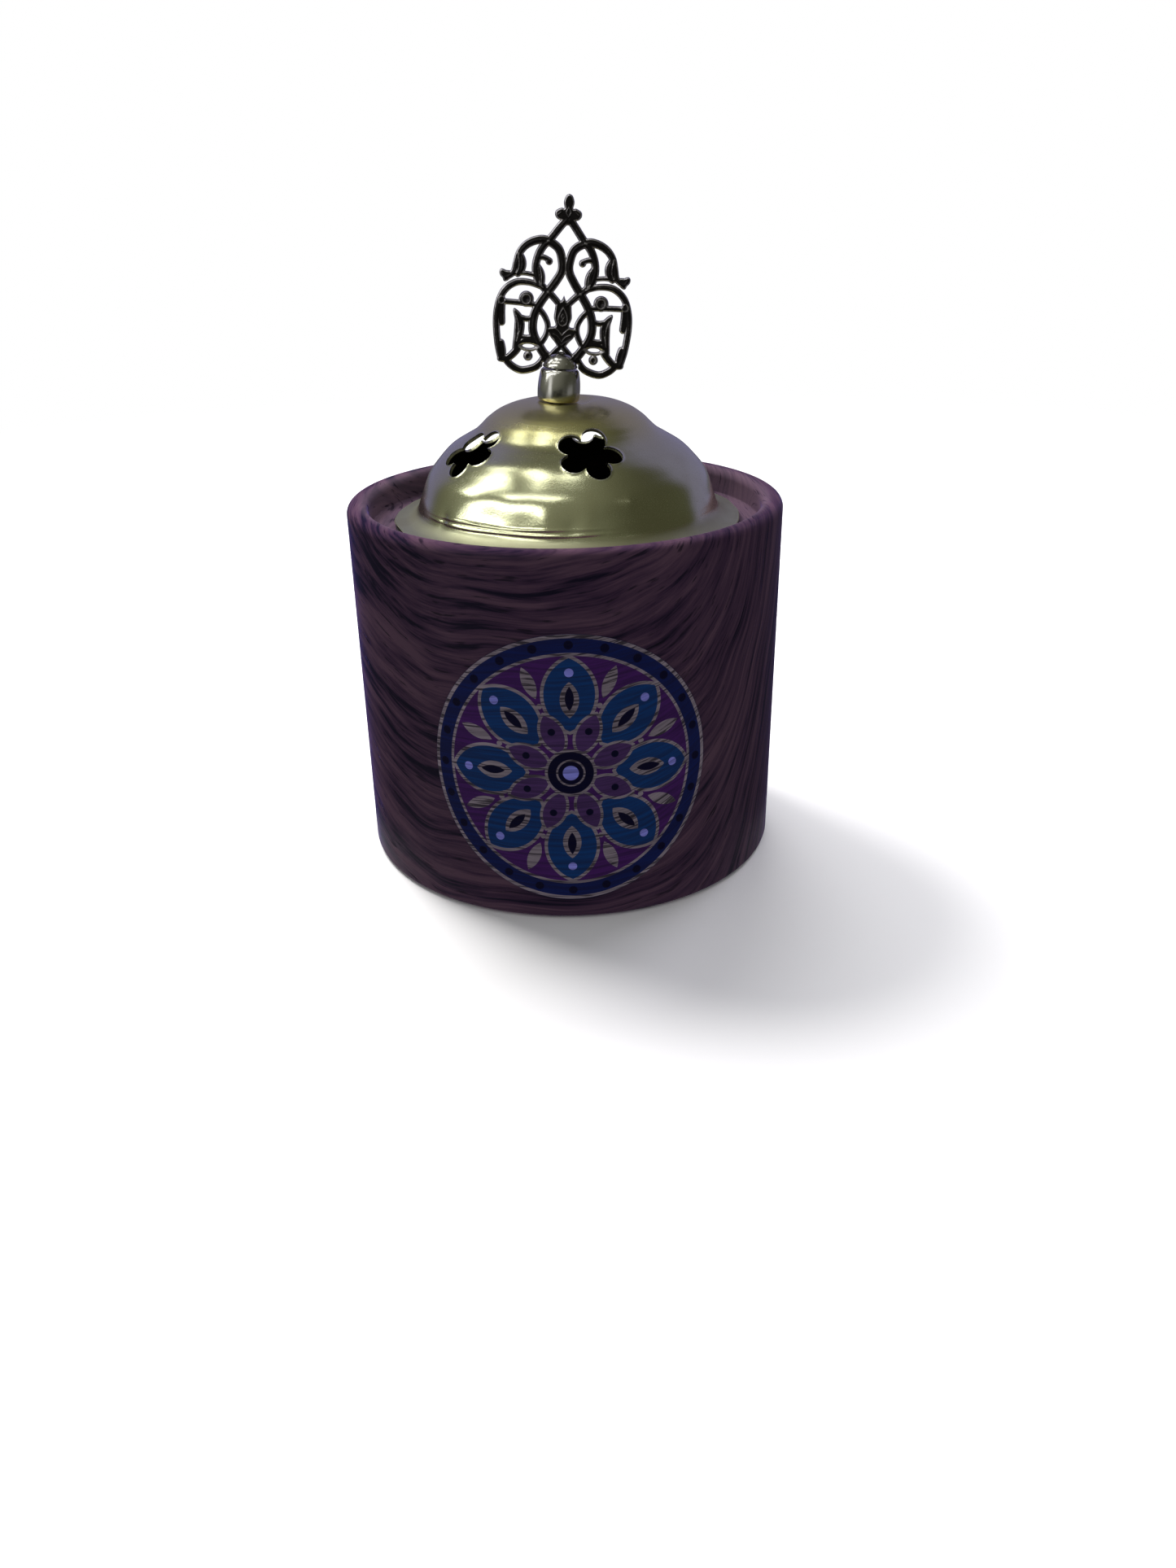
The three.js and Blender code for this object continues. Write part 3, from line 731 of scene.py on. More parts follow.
def charcoal_bowl():
    """The bowl's sheet turned round Z: rounded floor, tapered wall, straight throat, rounded
    mouth and flange outside, and the same back to the floor inside."""
    bend = (BOWL_MOUTH_RADIUS + BOWL_MOUTH_ROUND, BOWL_TOP_Z - BOWL_MOUTH_ROUND)
    throat_z = bend[1] - BOWL_THROAT
    corner = (BOWL_MOUTH_RADIUS - BOWL_TAPER - BOWL_FLOOR_ROUND, BOWL_FLOOR_Z + BOWL_FLOOR_ROUND)
    edge = BOWL_FLANGE_RADIUS - SHEET_ROUND
    profile = np.vstack([
        [[0, BOWL_FLOOR_Z - SHEET]],
        arc(*corner, BOWL_FLOOR_ROUND + SHEET, -90, 0, 14),
        [[BOWL_MOUTH_RADIUS + SHEET, throat_z]],
        arc(*bend, BOWL_MOUTH_ROUND - SHEET, 180, 90, 5),
        arc(edge, LEDGE_Z + SHEET_ROUND, SHEET_ROUND, -90, 0, 3),
        arc(edge, BOWL_TOP_Z - SHEET_ROUND, SHEET_ROUND, 0, 90, 3),
        arc(*bend, BOWL_MOUTH_ROUND, 90, 180, 6),
        [[BOWL_MOUTH_RADIUS, throat_z]],
        arc(*corner, BOWL_FLOOR_ROUND, 0, -90, 14),
        [[0, BOWL_FLOOR_Z]],
    ])
    points, faces = revolved(dense(profile, 3), 224)
    piece("bowl", "bowl", bowl_metal(), points, faces, ["charcoal_bowl"])


# Dome

# Dents: turn from the front in degrees, height share, reach and depth
DENTS = [
    (-52, 0.155, 1.5, -0.3), (-47, 0.2, 2.4, 0.2), (-30, 0.235, 3.6, -0.24), (-20, 0.29, 3.2, 0.16),
    (-8, 0.24, 3.0, 0.26), (1.5, 0.19, 1.7, -0.22), (7, 0.25, 2.6, 0.12), (24, 0.35, 1.3, 0.1),
    (-14, 0.46, 8.0, 0.2), (38, 0.3, 9.0, -0.22), (52, 0.16, 5.0, 0.2), (-66, 0.24, 7.0, 0.18),
    (-84, 0.4, 9.0, -0.2), (84, 0.42, 10.0, 0.2), (112, 0.25, 9.0, -0.24), (150, 0.3, 9.0, 0.2),
    (-150, 0.28, 9.0, -0.22), (-112, 0.5, 8.0, 0.18), (2, 0.82, 5.5, -0.12), (60, 0.78, 6.0, 0.12),
]
DOME_STEPS = 306
BURR_WIDTH, BURR_RISE = 0.38, 0.12
DOME_POLE = 0.08  # radius of the innermost row, inside the screw's hole
COVE_RISE = 2.6  # height over which the flange runs up into the dome
COVE_REACHES = [(1.6, 0.15), (1.7, 0.9)]  # reach past the wall, and height over which it falls
COVE_END = 39.7  # radius at which the flange is flat
FLANGE_ROUND = 0.12
FLANGE_CUT = 38.4  # radius past which the flange's edge wanders in and out
FLANGE_PRESSED = 36.6  # radius past which the flange waves up and down
DENTS_END = 38  # radius at which the dents have died out
SEAT_SOFT = 3.1  # width of the soft step round the finial's seat
CREASE_ROWS, DOME_ROWS = 0.14, 0.62  # distance between rows near the crease and above it
NEAR_FLOWERS = (0.21, -1.02)  # radians from the front


def dome_tiers():
    """The dome's two tiers as (radius, height), a curve through the profile's shares."""
    return spline(DOME_PROFILE_SHARES, 10) * [DOME_RADIUS, DOME_HEIGHT] + [0, DOME_FOOT_Z]


def dome_profile():
    """The lid's upper side from the flange's edge to the crown: the flange, a cove whose
    reach past the wall falls off as two exponentials, and the two tiers."""
    tiers = dome_tiers()
    top = LID_UNDER_Z + SHEET
    rise = COVE_RISE * np.linspace(0, 1, 26)[:-1] ** 2
    wall = np.interp(top + rise, tiers[:, 1], tiers[:, 0])
    spread = sum(reach * np.exp(-rise / fall) for reach, fall in COVE_REACHES)
    cove = np.column_stack([wall + spread * (1 - (rise / COVE_RISE) ** 2), top + rise])
    edge = [[LID_RADIUS, top - FLANGE_ROUND], [LID_RADIUS - FLANGE_ROUND, top], [COVE_END, top]]
    tiers = tiers[tiers[:, 1] > top + COVE_RISE]
    tiers[-1, 0] = DOME_POLE
    low = tiers[:, 1] < CREASE_Z + 2
    return np.vstack([edge, cove, dense(tiers[low], CREASE_ROWS), dense(tiers[~low], DOME_ROWS)])


def flower_field(points):
    """How far each point lies outside the nearest flower, in the plane that touches the dome
    at the flower's middle: radius less valley + (reach - valley) |cos(5 a / 2)| ^ roundness."""
    field = np.full(len(points), 9.0)
    tiers = dome_tiers()
    for turn_share, height_share in FLOWER_PLACE_SHARES:
        height = DOME_FOOT_Z + height_share * DOME_HEIGHT
        radius, low, high = [np.interp(height + rise, tiers[:, 1], tiers[:, 0])
                             for rise in (0, FLOWER_BELOW, FLOWER_ABOVE)]
        out = np.array([FLOWER_ABOVE - FLOWER_BELOW, low - high])
        out = out / np.linalg.norm(out)
        turn = 2 * math.pi * turn_share
        along = np.array([math.cos(turn), math.sin(turn), 0])
        normal = np.array([out[0] * math.sin(turn), -out[0] * math.cos(turn), out[1]])
        away = points - [radius * math.sin(turn), -radius * math.cos(turn), height]
        u, v = away @ along, away @ np.cross(normal, along)
        angle = np.arctan2(v, u) - math.radians(FLOWER_TURN)
        swell = np.abs(np.cos(FLOWER_PETALS * angle / 2)) ** PETAL_ROUNDNESS
        gap = np.hypot(u, v) - FLOWER_VALLEY - (FLOWER_REACH - FLOWER_VALLEY) * swell
        near = np.abs(away @ normal) < FLOWER_REACH
        field = np.where(near, np.minimum(field, gap), field)
    return field


def dome_columns():
    """Angles of the dome's columns, which stand closer where the two near flowers are."""
    even = np.linspace(-np.pi, np.pi, 4001)
    near = 1 + sum(1.2 * np.exp(-((even - turn) / 0.5) ** 2) for turn in NEAR_FLOWERS)
    crowd = np.concatenate([[0], np.cumsum((near[1:] + near[:-1]) / 2)])
    return np.interp(np.arange(DOME_STEPS) / DOME_STEPS * crowd[-1], crowd, even)


def dome_points(profile, a):
    """The profile turned round Z, with a flange cut and pressed by hand, and pushed along
    its normals by soft waves, dents and a crease. The crease is a few fine ridges, sharp on
    the front's left and all but gone elsewhere."""
    r = profile[:, :1] + 0 * a
    z = profile[:, 1:] + 0 * a
    height = (z - DOME_FOOT_Z) / DOME_HEIGHT
    wander = 0.16 * np.sin(5 * a + 1) + 0.12 * np.sin(11 * a + 2) + 0.07 * np.sin(23 * a)
    r = r - smooth((r - FLANGE_CUT) / 1.4) * (0.3 + wander)
    wave = 0.1 * np.sin(4 * a + 0.5) + 0.05 * np.sin(9 * a)
    z = z + smooth((r - FLANGE_PRESSED) / 2) * wave
    away = np.gradient(profile, axis=0)
    away = np.column_stack([away[:, 1], -away[:, 0]]) / np.linalg.norm(away, axis=1)[:, None]
    push = 0.05 * np.sin(3 * a + 9 * height) * np.sin(2 * a - 5 * height + 1)
    for turn, share, reach, depth in DENTS:
        across = np.angle(np.exp(1j * (a - math.radians(turn)))) * np.maximum(r, 4)
        rise = (height - share) * DOME_HEIGHT
        push = push + depth * np.exp(-(across ** 2 + rise ** 2) / reach ** 2)
    push = push * smooth((DENTS_END - r) / 2)
    sharpness = 0.04 + 0.96 * np.exp(-((a - math.radians(CREASE_TURN)) / CREASE_REACH) ** 8)
    sharpness = sharpness * (1 - 0.6 * smooth((a - 0.1) / 0.2) * (0.5 + 0.5 * np.sin(61 * a)))
    for rise, proud in CREASE_RIDGES:
        ridge = CREASE_Z + rise + 0.1 * np.sin(9 * a + 2 * rise)
        push = push + sharpness * proud * np.exp(-((z - ridge) / CREASE_SOFT) ** 2)
    return turned(r + push * away[:, :1], z + push * away[:, 1:], a)


def lid_dome():
    """The lid's sheet: the dome's points, dished under the finial and given its thickness
    along its normals, with the flowers and the screw's hole cut out."""
    profile = dome_profile()
    points = dome_points(profile, dome_columns())
    # inside the seat's radius the sheet lies on the finial's leaning plane
    lean = math.radians(FINIAL_LEAN)
    seat = points - [FINIAL_PLACE[0] - LID_DRIFT, 0, FINIAL_PLACE[2]]
    reach = np.hypot(seat[..., 0] / math.cos(lean), seat[..., 1])
    sink = np.minimum(-math.tan(lean) * seat[..., 0] - seat[..., 2], 0)
    points[..., 2] += smooth((SEAT_RADIUS + 0.1 - reach) / SEAT_SOFT + 1) * sink
    down = np.gradient(points, axis=0)
    across = np.roll(points, -1, axis=1) - np.roll(points, 1, axis=1)
    normals = np.cross(across, down)
    normals /= np.linalg.norm(normals, axis=2)[:, :, None]
    normals = np.where(normals[:, :, 2:] < -0.2, -normals, normals)
    points, normals, reach = points.reshape(-1, 3), normals.reshape(-1, 3), reach.ravel()
    under = points - normals * SHEET
    under[:, 2] = np.maximum(under[:, 2], LID_UNDER_Z)
    flowers = flower_field(points)
    # the punch leaves a fine raised burr round each flower
    burr = smooth((BURR_WIDTH - flowers) / BURR_WIDTH)
    points += normals * burr[:, None] * BURR_RISE
    field = np.minimum(flowers, reach - SCREW_HOLE_RADIUS)
    cells = halved(grid(len(profile), DOME_STEPS))
    triangles, crossings, border = cut(cells, field)
    front, back, burr = [crossed(v, crossings) for v in (points, under, burr)]
    rim = ring(DOME_STEPS)
    border = np.vstack([border, np.column_stack([rim[:-1], rim[1:]])])
    points, faces, used = walled(front, back, triangles, border)
    points[:, 0] += LID_DRIFT
    marks = {"under": np.repeat([0.0, 1.0], len(front))[used],
             "burr": np.concatenate([burr, burr * 0])[used]}
    piece("dome", "lid", lid_brass(), points, [faces], ["lid_dome"], marks)


def lid_collar():
    """A ring under the lid, rounded at its lower edges."""
    low, high = LID_UNDER_Z - COLLAR_DROP, LID_UNDER_Z
    inner = COLLAR_RADIUS - COLLAR_SHEET
    loop = np.vstack([
        arc(inner + SHEET_ROUND, low + SHEET_ROUND, SHEET_ROUND, 180, 270, 3),
        arc(COLLAR_RADIUS - SHEET_ROUND, low + SHEET_ROUND, SHEET_ROUND, -90, 0, 3),
        [[COLLAR_RADIUS, high], [inner, high]],
    ])
    points, faces = revolved(loop, 224, looped=True)
    points[:, 0] += LID_DRIFT
    piece("collar", "lid", lid_brass(), points, faces, ["lid_collar"])


# Finial

NICKEL = (0.56, 0.55, 0.5)
PAINTED_GOLD_REFLECTION = (0.66, 0.54, 0.18)


def ferrule_plating():
    """Bright nickel over brass: polished, and yellower towards its foot, a painted reflection of
    the brass dome below it, with fine turning rings."""
    finish = Finish("ferrule_plating", Metallic=1)
    place = finish.place()
    x, y, z = finish.split(place)
    rings = finish.noise(finish.join(z * 9, 0, 0), 2, 2)
    # painted reflection: yellower towards the foot, where the barrel mirrors the brass dome
    worn = (z + finish.noise(place, 0.5, 2) * 2.4).above(107.6, 105.0)
    finish.set("Base Color", finish.mix(worn * 0.75, NICKEL, PAINTED_GOLD_REFLECTION))
    finish.set("Roughness", 0.13 + finish.noise(place, 1.3, 3) * 0.12)
    finish.bump(rings, 0.0025)
    return finish


def ferrule_barrel(finish):
    """The barrel's side, a quadratic curve through foot, belly and neck, turned round the
    finial's axis. Both ends draw in, by an amount that falls off as an exponential."""
    t = np.linspace(0, 1, 25)[:, None]
    foot = np.array([BARREL_FOOT_RADIUS, FIT_GAP])
    neck = np.array([BARREL_NECK_RADIUS, BARREL_HEIGHT])
    swell = 2 * BARREL_BELLY_RADIUS - (BARREL_FOOT_RADIUS + BARREL_NECK_RADIUS) / 2
    belly = np.array([swell, BARREL_HEIGHT / 2])
    side = (1 - t) ** 2 * foot + 2 * t * (1 - t) * belly + t ** 2 * neck
    up, down = side[:, 1] - foot[1], neck[1] - side[:, 1]
    side[:, 0] -= FOOT_ROUND * np.exp(-up / FOOT_FALL) + NECK_ROUND * np.exp(-down / NECK_FALL)
    bore = SCREW_HOLE_RADIUS
    loop = np.vstack([[[bore, FIT_GAP]], side, [[bore, BARREL_HEIGHT]]])
    points, faces = revolved(loop, 96, looped=True)
    piece("ferrule_lower", "lid", finish, finial_placed(points), faces,
          ["ferrule_barrel"])


def ferrule_cap(finish):
    """The cap: a dome on a disc and a spigot, with a slot across it. Below the slot's floor
    it is turned. Above it, each half is a stack of circle segments whose chord is the slot's
    side and whose radius is the dome's at that height."""
    base = BARREL_HEIGHT + FIT_GAP
    floor = base + CAP_FLOOR
    half_slot = PLATE_THICKNESS / 2 + FIT_GAP
    across, corner, chord = 30, 16, 14
    points, faces = [], []

    def add(block):
        """Adds points, and returns their places."""
        first = sum(map(len, points))
        points.append(block)
        return first + np.arange(len(block))

    def radius(z):
        return CAP_RADIUS * np.sqrt(np.clip(1 - ((z - base) / CAP_HEIGHT) ** 2, 0, 1))

    def opening(z):
        """The angle from the front to the slot's mouth."""
        return np.arccos(np.clip(half_slot / radius(z), -1, 1))

    def chord_row(reach, y, z):
        """Points between the two ends of a chord."""
        x = np.linspace(reach, -reach, chord + 1)[1:-1]
        return add(np.column_stack([x, 0 * x + y, 0 * x + z]))

    # angles of the front arc, the right mouth, the back arc and the left mouth
    turn = opening(floor)
    angles = np.concatenate([
        np.linspace(-turn, turn, across + 1),
        np.linspace(turn, np.pi - turn, corner + 1)[1:-1],
        np.linspace(np.pi - turn, np.pi + turn, across + 1),
        np.linspace(np.pi + turn, 2 * np.pi - turn, corner + 1)[1:-1]])
    low = base - SPIGOT_LENGTH
    rings = [add(turned(r, z, angles))[ring(len(angles))] for r, z in (
        (SPIGOT_RADIUS, low), (SPIGOT_RADIUS, base), (CAP_RADIUS - CAP_ROUND, base),
        (CAP_RADIUS, base + 0.15), (radius(base + 0.3), base + 0.3), (radius(floor), floor))]
    faces.append(fan(rings[0][::-1], add(np.array([[0, 0, low]]))[0]))
    faces += [strip(first, second) for first, second in zip(rings, rings[1:])]
    rim = rings[-1]
    front, right = rim[:across + 1], rim[across:across + corner + 1]
    back, left = rim[across + corner:2 * across + corner + 1], rim[2 * across + corner:]
    # the slot's floor runs between the two mouths
    reach = radius(floor) * math.sin(turn)
    near = np.concatenate([front[-1:], chord_row(reach, -half_slot, floor), front[:1]])
    far = np.concatenate([back[:1], chord_row(reach, half_slot, floor), back[-1:]])
    faces += [strip(far, near), fan(right[1:], right[0]), fan(left[1:], left[0])]
    top = base + CAP_HEIGHT * math.sqrt(1 - (half_slot / CAP_RADIUS) ** 2)
    levels = floor + (top - floor) * np.sin(np.linspace(0, np.pi / 2, 16))[1:-1]
    for side, middle, edge, line in ((-1, 0, front, near[::-1]), (1, np.pi, back, far)):
        # edge runs round the outside, and line back along the chord
        for z in levels:
            turn = opening(z)
            outer = add(turned(radius(z), z, middle + np.linspace(-turn, turn, across + 1)))
            row = chord_row(side * radius(z) * math.sin(turn), side * half_slot, z)
            inner = np.concatenate([outer[:1], row, outer[-1:]])
            faces += [strip(edge, outer), strip(line[::-1], inner[::-1])]
            edge, line = outer, inner
        tip = add(np.array([[0, side * half_slot, top]]))[0]
        faces += [fan(edge, tip), fan(line[::-1], tip)]
    piece("ferrule_upper", "lid", finish,
          finial_placed(np.vstack(points)), faces, ["ferrule_cap"])


# Plate

# Strokes of the plate's right half: width, its shares at start, middle and end, how far the
# stroke stands above those it crosses, and its line in shares of half width and height
RIBBON, LINE, LEAF, TOOTH = 1.8, 1.25, 2.1, 1.9
STROKES = [
    (RIBBON, (0.6, 1.05, 1.15), 0.16, [
        [0.858, 0.566], [0.81, 0.541], [0.71, 0.567], [0.67, 0.625], [0.632, 0.675], [0.547, 0.719],
        [0.414, 0.747], [0.275, 0.75], [0.114, 0.713], [0.054, 0.648], [0.053, 0.59], [0.127, 0.532],
        [0.232, 0.469], [0.327, 0.409], [0.394, 0.346], [0.413, 0.282], [0.389, 0.23],
        [0.328, 0.183], [0.2, 0.108]]),
    (RIBBON, (0.95, 0.97, 0.8), 0, [
        [0.02, 0.865], [0.082, 0.838], [0.222, 0.762], [0.322, 0.716], [0.386, 0.66],
        [0.407, 0.596], [0.367, 0.535], [0.28, 0.493], [0.165, 0.455], [0.05, 0.407]]),
    (RIBBON, (0.7, 0.87, 0.85), 0.06, [
        [0.3, 0.498], [0.48, 0.519], [0.67, 0.514], [0.825, 0.465], [0.902, 0.382], [0.917, 0.288],
        [0.888, 0.175], [0.84, 0.093]]),
    (TOOTH, (0.6, 1, 0.9), 0, [[0.84, 0.425], [0.858, 0.36], [0.845, 0.293]]),
    (TOOTH, (0.8, 1, 0.7), 0, [[0.84, 0.177], [0.824, 0.125], [0.83, 0.085]]),
    (LINE, (1, 1, 1), 0, [[0.87, 0.407], [0.6, 0.405], [0.36, 0.398]]),
    (LINE, (0.8, 0.8, 0.8), 0.04, [[0.71, 0.56], [0.55, 0.567], [0.38, 0.558]]),
    (LEAF, (0.3, 1.15, 0.5), 0, [[0.65, 0.686], [0.615, 0.64], [0.612, 0.595], [0.65, 0.556]]),
    (LINE, (0.95, 0.95, 0.95), 0, [[0.4, 0.652], [0.31, 0.659], [0.228, 0.646]]),
    (LEAF, (0.3, 0.85, 0.4), 0, [[0.39, 0.625], [0.34, 0.58], [0.32, 0.535], [0.315, 0.5]]),
    (LEAF, (0.3, 1.1, 0.75), 0, [[0.672, 0.365], [0.6, 0.31], [0.6, 0.235], [0.635, 0.145]]),
    (LINE, (1, 1, 1), 0, [[0.59, 0.325], [0.5, 0.318], [0.41, 0.325]]),
    (LINE, (1, 1, 1), 0, [[0.6, 0.218], [0.5, 0.213], [0.4, 0.218]]),
    (RIBBON, (0.8, 0.98, 0.9), 0.1, [
        [0.845, 0.087], [0.75, 0.09], [0.645, 0.13], [0.555, 0.182], [0.452, 0.2], [0.345, 0.18]]),
    (RIBBON, (0.9, 0.92, 0.9), 0, [
        [0.205, 0.128], [0.286, 0.074], [0.381, 0.044], [0.55, 0.028], [0.692, 0.053],
        [0.786, 0.093]]),
    (LINE, (1.1, 1.05, 1.1), 0, [
        [0.34, 0.38], [0.259, 0.344], [0.203, 0.293], [0.22, 0.237], [0.3, 0.178]]),
    (LINE, (1.05, 1.05, 1.05), 0, [[0.01, 0.18], [0.108, 0.137], [0.18, 0.1]]),
    # the two points of the flared tip at the side
    (TOOTH, (0.25, 0.9, 0.8), 0.1, [[0.872, 0.575], [0.83, 0.556], [0.76, 0.556]]),
    (TOOTH, (0.3, 0.8, 0.6), 0.1, [[0.822, 0.524], [0.79, 0.543], [0.74, 0.56]]),
]
LOTUS_SHARES = [
    [0, 0.462], [0.035, 0.432], [0.1, 0.425], [0.118, 0.375], [0.125, 0.335], [0.1, 0.29],
    [0.222, 0.28], [0.175, 0.235], [0.09, 0.195], [0.05, 0.165],
]
BUD_SHARES = [
    [0, 1], [0.045, 0.99], [0.072, 0.957], [0.06, 0.925], [0.1, 0.926], [0.172, 0.91],
    [0.18, 0.885], [0.14, 0.865], [0.07, 0.858], [0.03, 0.835],
]
# Fine raised lines: width and height in millimetres, and the line in shares
VEINS = [
    (0.15, 0.13, [[0.655, 0.675], [0.635, 0.635], [0.635, 0.595], [0.665, 0.565]]),
    (0.14, 0.1, [[0.605, 0.655], [0.59, 0.62], [0.6, 0.585]]),
    (0.15, 0.13, [[0.355, 0.61], [0.325, 0.57], [0.318, 0.515]]),
    (0.14, 0.1, [[0.375, 0.6], [0.35, 0.56], [0.338, 0.51]]),
    (0.15, 0.13, [[0.645, 0.335], [0.612, 0.29], [0.605, 0.24], [0.625, 0.19]]),
    (0.14, 0.11, [[0.575, 0.28], [0.585, 0.25], [0.61, 0.23]]),
    (0.15, 0.15, [[0, 0.395], [0.04, 0.365], [0.062, 0.335], [0.05, 0.305], [0, 0.293]]),
    (0.13, 0.11, [[0, 0.36], [0.022, 0.345], [0, 0.33], [0.02, 0.315]]),
    (0.15, 0.14, [[0, 0.24], [0.045, 0.262], [0.1, 0.278], [0.19, 0.272]]),
    (0.14, 0.12, [[0, 0.205], [0.05, 0.232], [0.12, 0.247]]),
    (0.13, 0.1, [[0, 0.185], [0.06, 0.205], [0.12, 0.222]]),
    (0.14, 0.14, [[0, 0.93], [0.03, 0.905], [0, 0.88]]),
    (0.14, 0.1, [[0.1, 0.905], [0.14, 0.89]]),
]
BOSS, BOSS_RADIUS = (0.515, 0.428), 1.65
KNOB, KNOB_RADIUS = (0.228, 0.64), 0.8
BAND_CROWN = (0.458, 0.2)
EYELET_LENGTH, EYELET_HEIGHT, EYELET_RIM = 2.1, 1.2, 0.8
BEAD_RADIUS = 1.05
TANG_HEIGHT = 1.6
CLOSE_GAP = 0.08
PLATE_GRID = 0.12
EDGE_ROUND = 0.58
FACE_DROP = 0.16  # how far the face lies inside half the plate's thickness
RUB_HIGHLIGHT_EDGE, RUB_HIGHLIGHT_RIDGE = 0.24, 0.08  # widths over which the rubbed brass and painted highlight turn dark
# Punched rings: radius, height, width, and the depth of a pit in the middle
BOSS_RING = (0.95, 0.2, 0.2, 0.35)
BEAD_RING = (0.55, 0.14, 0.17, 0.22)
SIDE_RING, SIDE_RING_SHARES = (0.72, 0.13, 0.15, 0), (0.85, 0.415)


def on_plate(shares):
    """Millimetres in the finial's frame from shares of half width and height."""
    return np.asarray(shares, dtype=float) * [PLATE_HALF_WIDTH, PLATE_HEIGHT] + [0, PLATE_FOOT]


def stroke_depth(points, width, taper, shares):
    """How deep each point lies inside a stroke: the half width at the nearest place on the
    stroke's line, less the distance to that place."""
    line = spline(on_plate(shares), 6)
    t = np.linspace(0, 1, len(line))
    start, middle, end = taper
    ends = np.where(t < 0.5, start, end)
    half = width * (ends + (middle - ends) * np.sin(np.pi * t)) / 2
    depth = np.full(len(points), -9.0)
    low, high = line.min(axis=0) - 2.5, line.max(axis=0) + 2.5
    near = np.flatnonzero(((points > low) & (points < high)).all(axis=1))
    p = points[near]
    best = np.full(len(near), -9.0)
    for a, b, ha, hb in zip(line[:-1], line[1:], half[:-1], half[1:]):
        run = b - a
        s = np.clip((p - a) @ run / (run @ run), 0, 1)
        away = np.linalg.norm(p - a - s[:, None] * run, axis=1)
        best = np.maximum(best, ha + (hb - ha) * s - away)
    depth[near] = best
    return depth


def outline_depth(points, outline):
    """How deep each point lies inside a closed outline: the distance to its nearest side,
    below 0 outside, where a line to the right crosses the sides an even number of times."""
    outline = np.asarray(outline, dtype=float)
    best = np.full(len(points), 99.0)
    inside = np.zeros(len(points), dtype=bool)
    x, z = points.T
    for a, b in zip(outline, np.roll(outline, -1, axis=0)):
        run = b - a
        s = np.clip((points - a) @ run / (run @ run), 0, 1)
        best = np.minimum(best, np.linalg.norm(points - a - s[:, None] * run, axis=1))
        if a[1] != b[1]:
            cross = (a[1] > z) != (b[1] > z)
            inside ^= cross & (x < a[0] + (z - a[1]) * run[0] / run[1])
    return np.where(inside, best, -best)


def disc_depth(points, middle, radius_x, radius_z=None):
    """Depth inside a disc or an oval, from its scaled radius."""
    radius_z = radius_z or radius_x
    u, v = ((points - middle) / [radius_x, radius_z]).T
    return (1 - np.hypot(u, v)) * min(radius_x, radius_z)


def rounded(depth):
    """The face's height over a depth inside the outline: a quarter round at the edge."""
    t = np.clip(depth, 0, EDGE_ROUND)
    return np.sqrt(EDGE_ROUND ** 2 - (EDGE_ROUND - t) ** 2) - EDGE_ROUND


def plate_relief(points):
    """Over each point of the right half: depth inside the plate, height of its face, and the
    part of that height that stands in low ridges. Each form has its own rounded edge, and
    one that stands above the others keeps it where they cross."""
    depth = np.full(len(points), -9.0)
    face = np.full(len(points), -9.0)
    x, z = points.T

    def lay(form, lift=0.0):
        nonlocal depth, face
        depth = np.maximum(depth, form)
        face = np.where(form > 0, np.maximum(face, rounded(form) + lift), face)

    for width, taper, lift, shares in STROKES:
        lay(stroke_depth(points, width, taper, shares), lift)
    for half in (LOTUS_SHARES, BUD_SHARES):
        right = on_plate(spline(half, 5))
        lay(outline_depth(points, np.vstack([right, (right[1:] * [-1, 1])[::-1]])), 0.1)
    boss = on_plate(BOSS)
    eyelet = on_plate(BAND_CROWN) - [0, EYELET_HEIGHT]
    bead = eyelet - [0, EYELET_HEIGHT + BEAD_RADIUS * 0.85]
    for lift, *shape in (
            (0.08, boss, BOSS_RADIUS), (0.04, on_plate(KNOB), KNOB_RADIUS),
            (0.04, eyelet, EYELET_LENGTH, EYELET_HEIGHT), (0.08, bead, BEAD_RADIUS)):
        lay(disc_depth(points, *shape), lift)
    low = BARREL_HEIGHT + CAP_FLOOR + 2 * FIT_GAP
    lay(np.minimum(CAP_RADIUS - RIBBON / 2 - x, np.minimum(z - low, low + TANG_HEIGHT - z)))
    slot = disc_depth(points, eyelet, EYELET_LENGTH - EYELET_RIM, EYELET_HEIGHT - EYELET_RIM)
    notch = np.minimum(CAP_RADIUS + CLOSE_GAP - x, low - z)
    for hole in (slot, notch):
        depth = np.minimum(depth, -hole)
        face = np.minimum(face, rounded(-hole) + 0.04)

    raised = np.zeros(len(points))
    # the three long ribbons have low ridges along their middles, paler as rubbed brass and painted
    # highlight
    for width, height, shares in VEINS + [(0.2, 0.09, stroke[-1]) for stroke in STROKES[:3]]:
        away = stroke_depth(points, 0, (1, 1, 1), shares)
        raised += height * np.exp(-(away / width) ** 2)
    for middle, (radius, height, width, pit) in (
            (boss, BOSS_RING), (bead, BEAD_RING), (on_plate(SIDE_RING_SHARES), SIDE_RING)):
        away = np.linalg.norm(points - middle, axis=1)
        raised += height * np.exp(-((away - radius) / width) ** 2)
        raised -= pit * np.exp(-(away / (radius * 0.45)) ** 2)
    return depth, face + raised, raised


BROWN_BLACK = (0.016, 0.015, 0.018)
BROWN_GREY = (0.052, 0.047, 0.046)
RUBBED_HIGHLIGHT = (0.5, 0.48, 0.5)


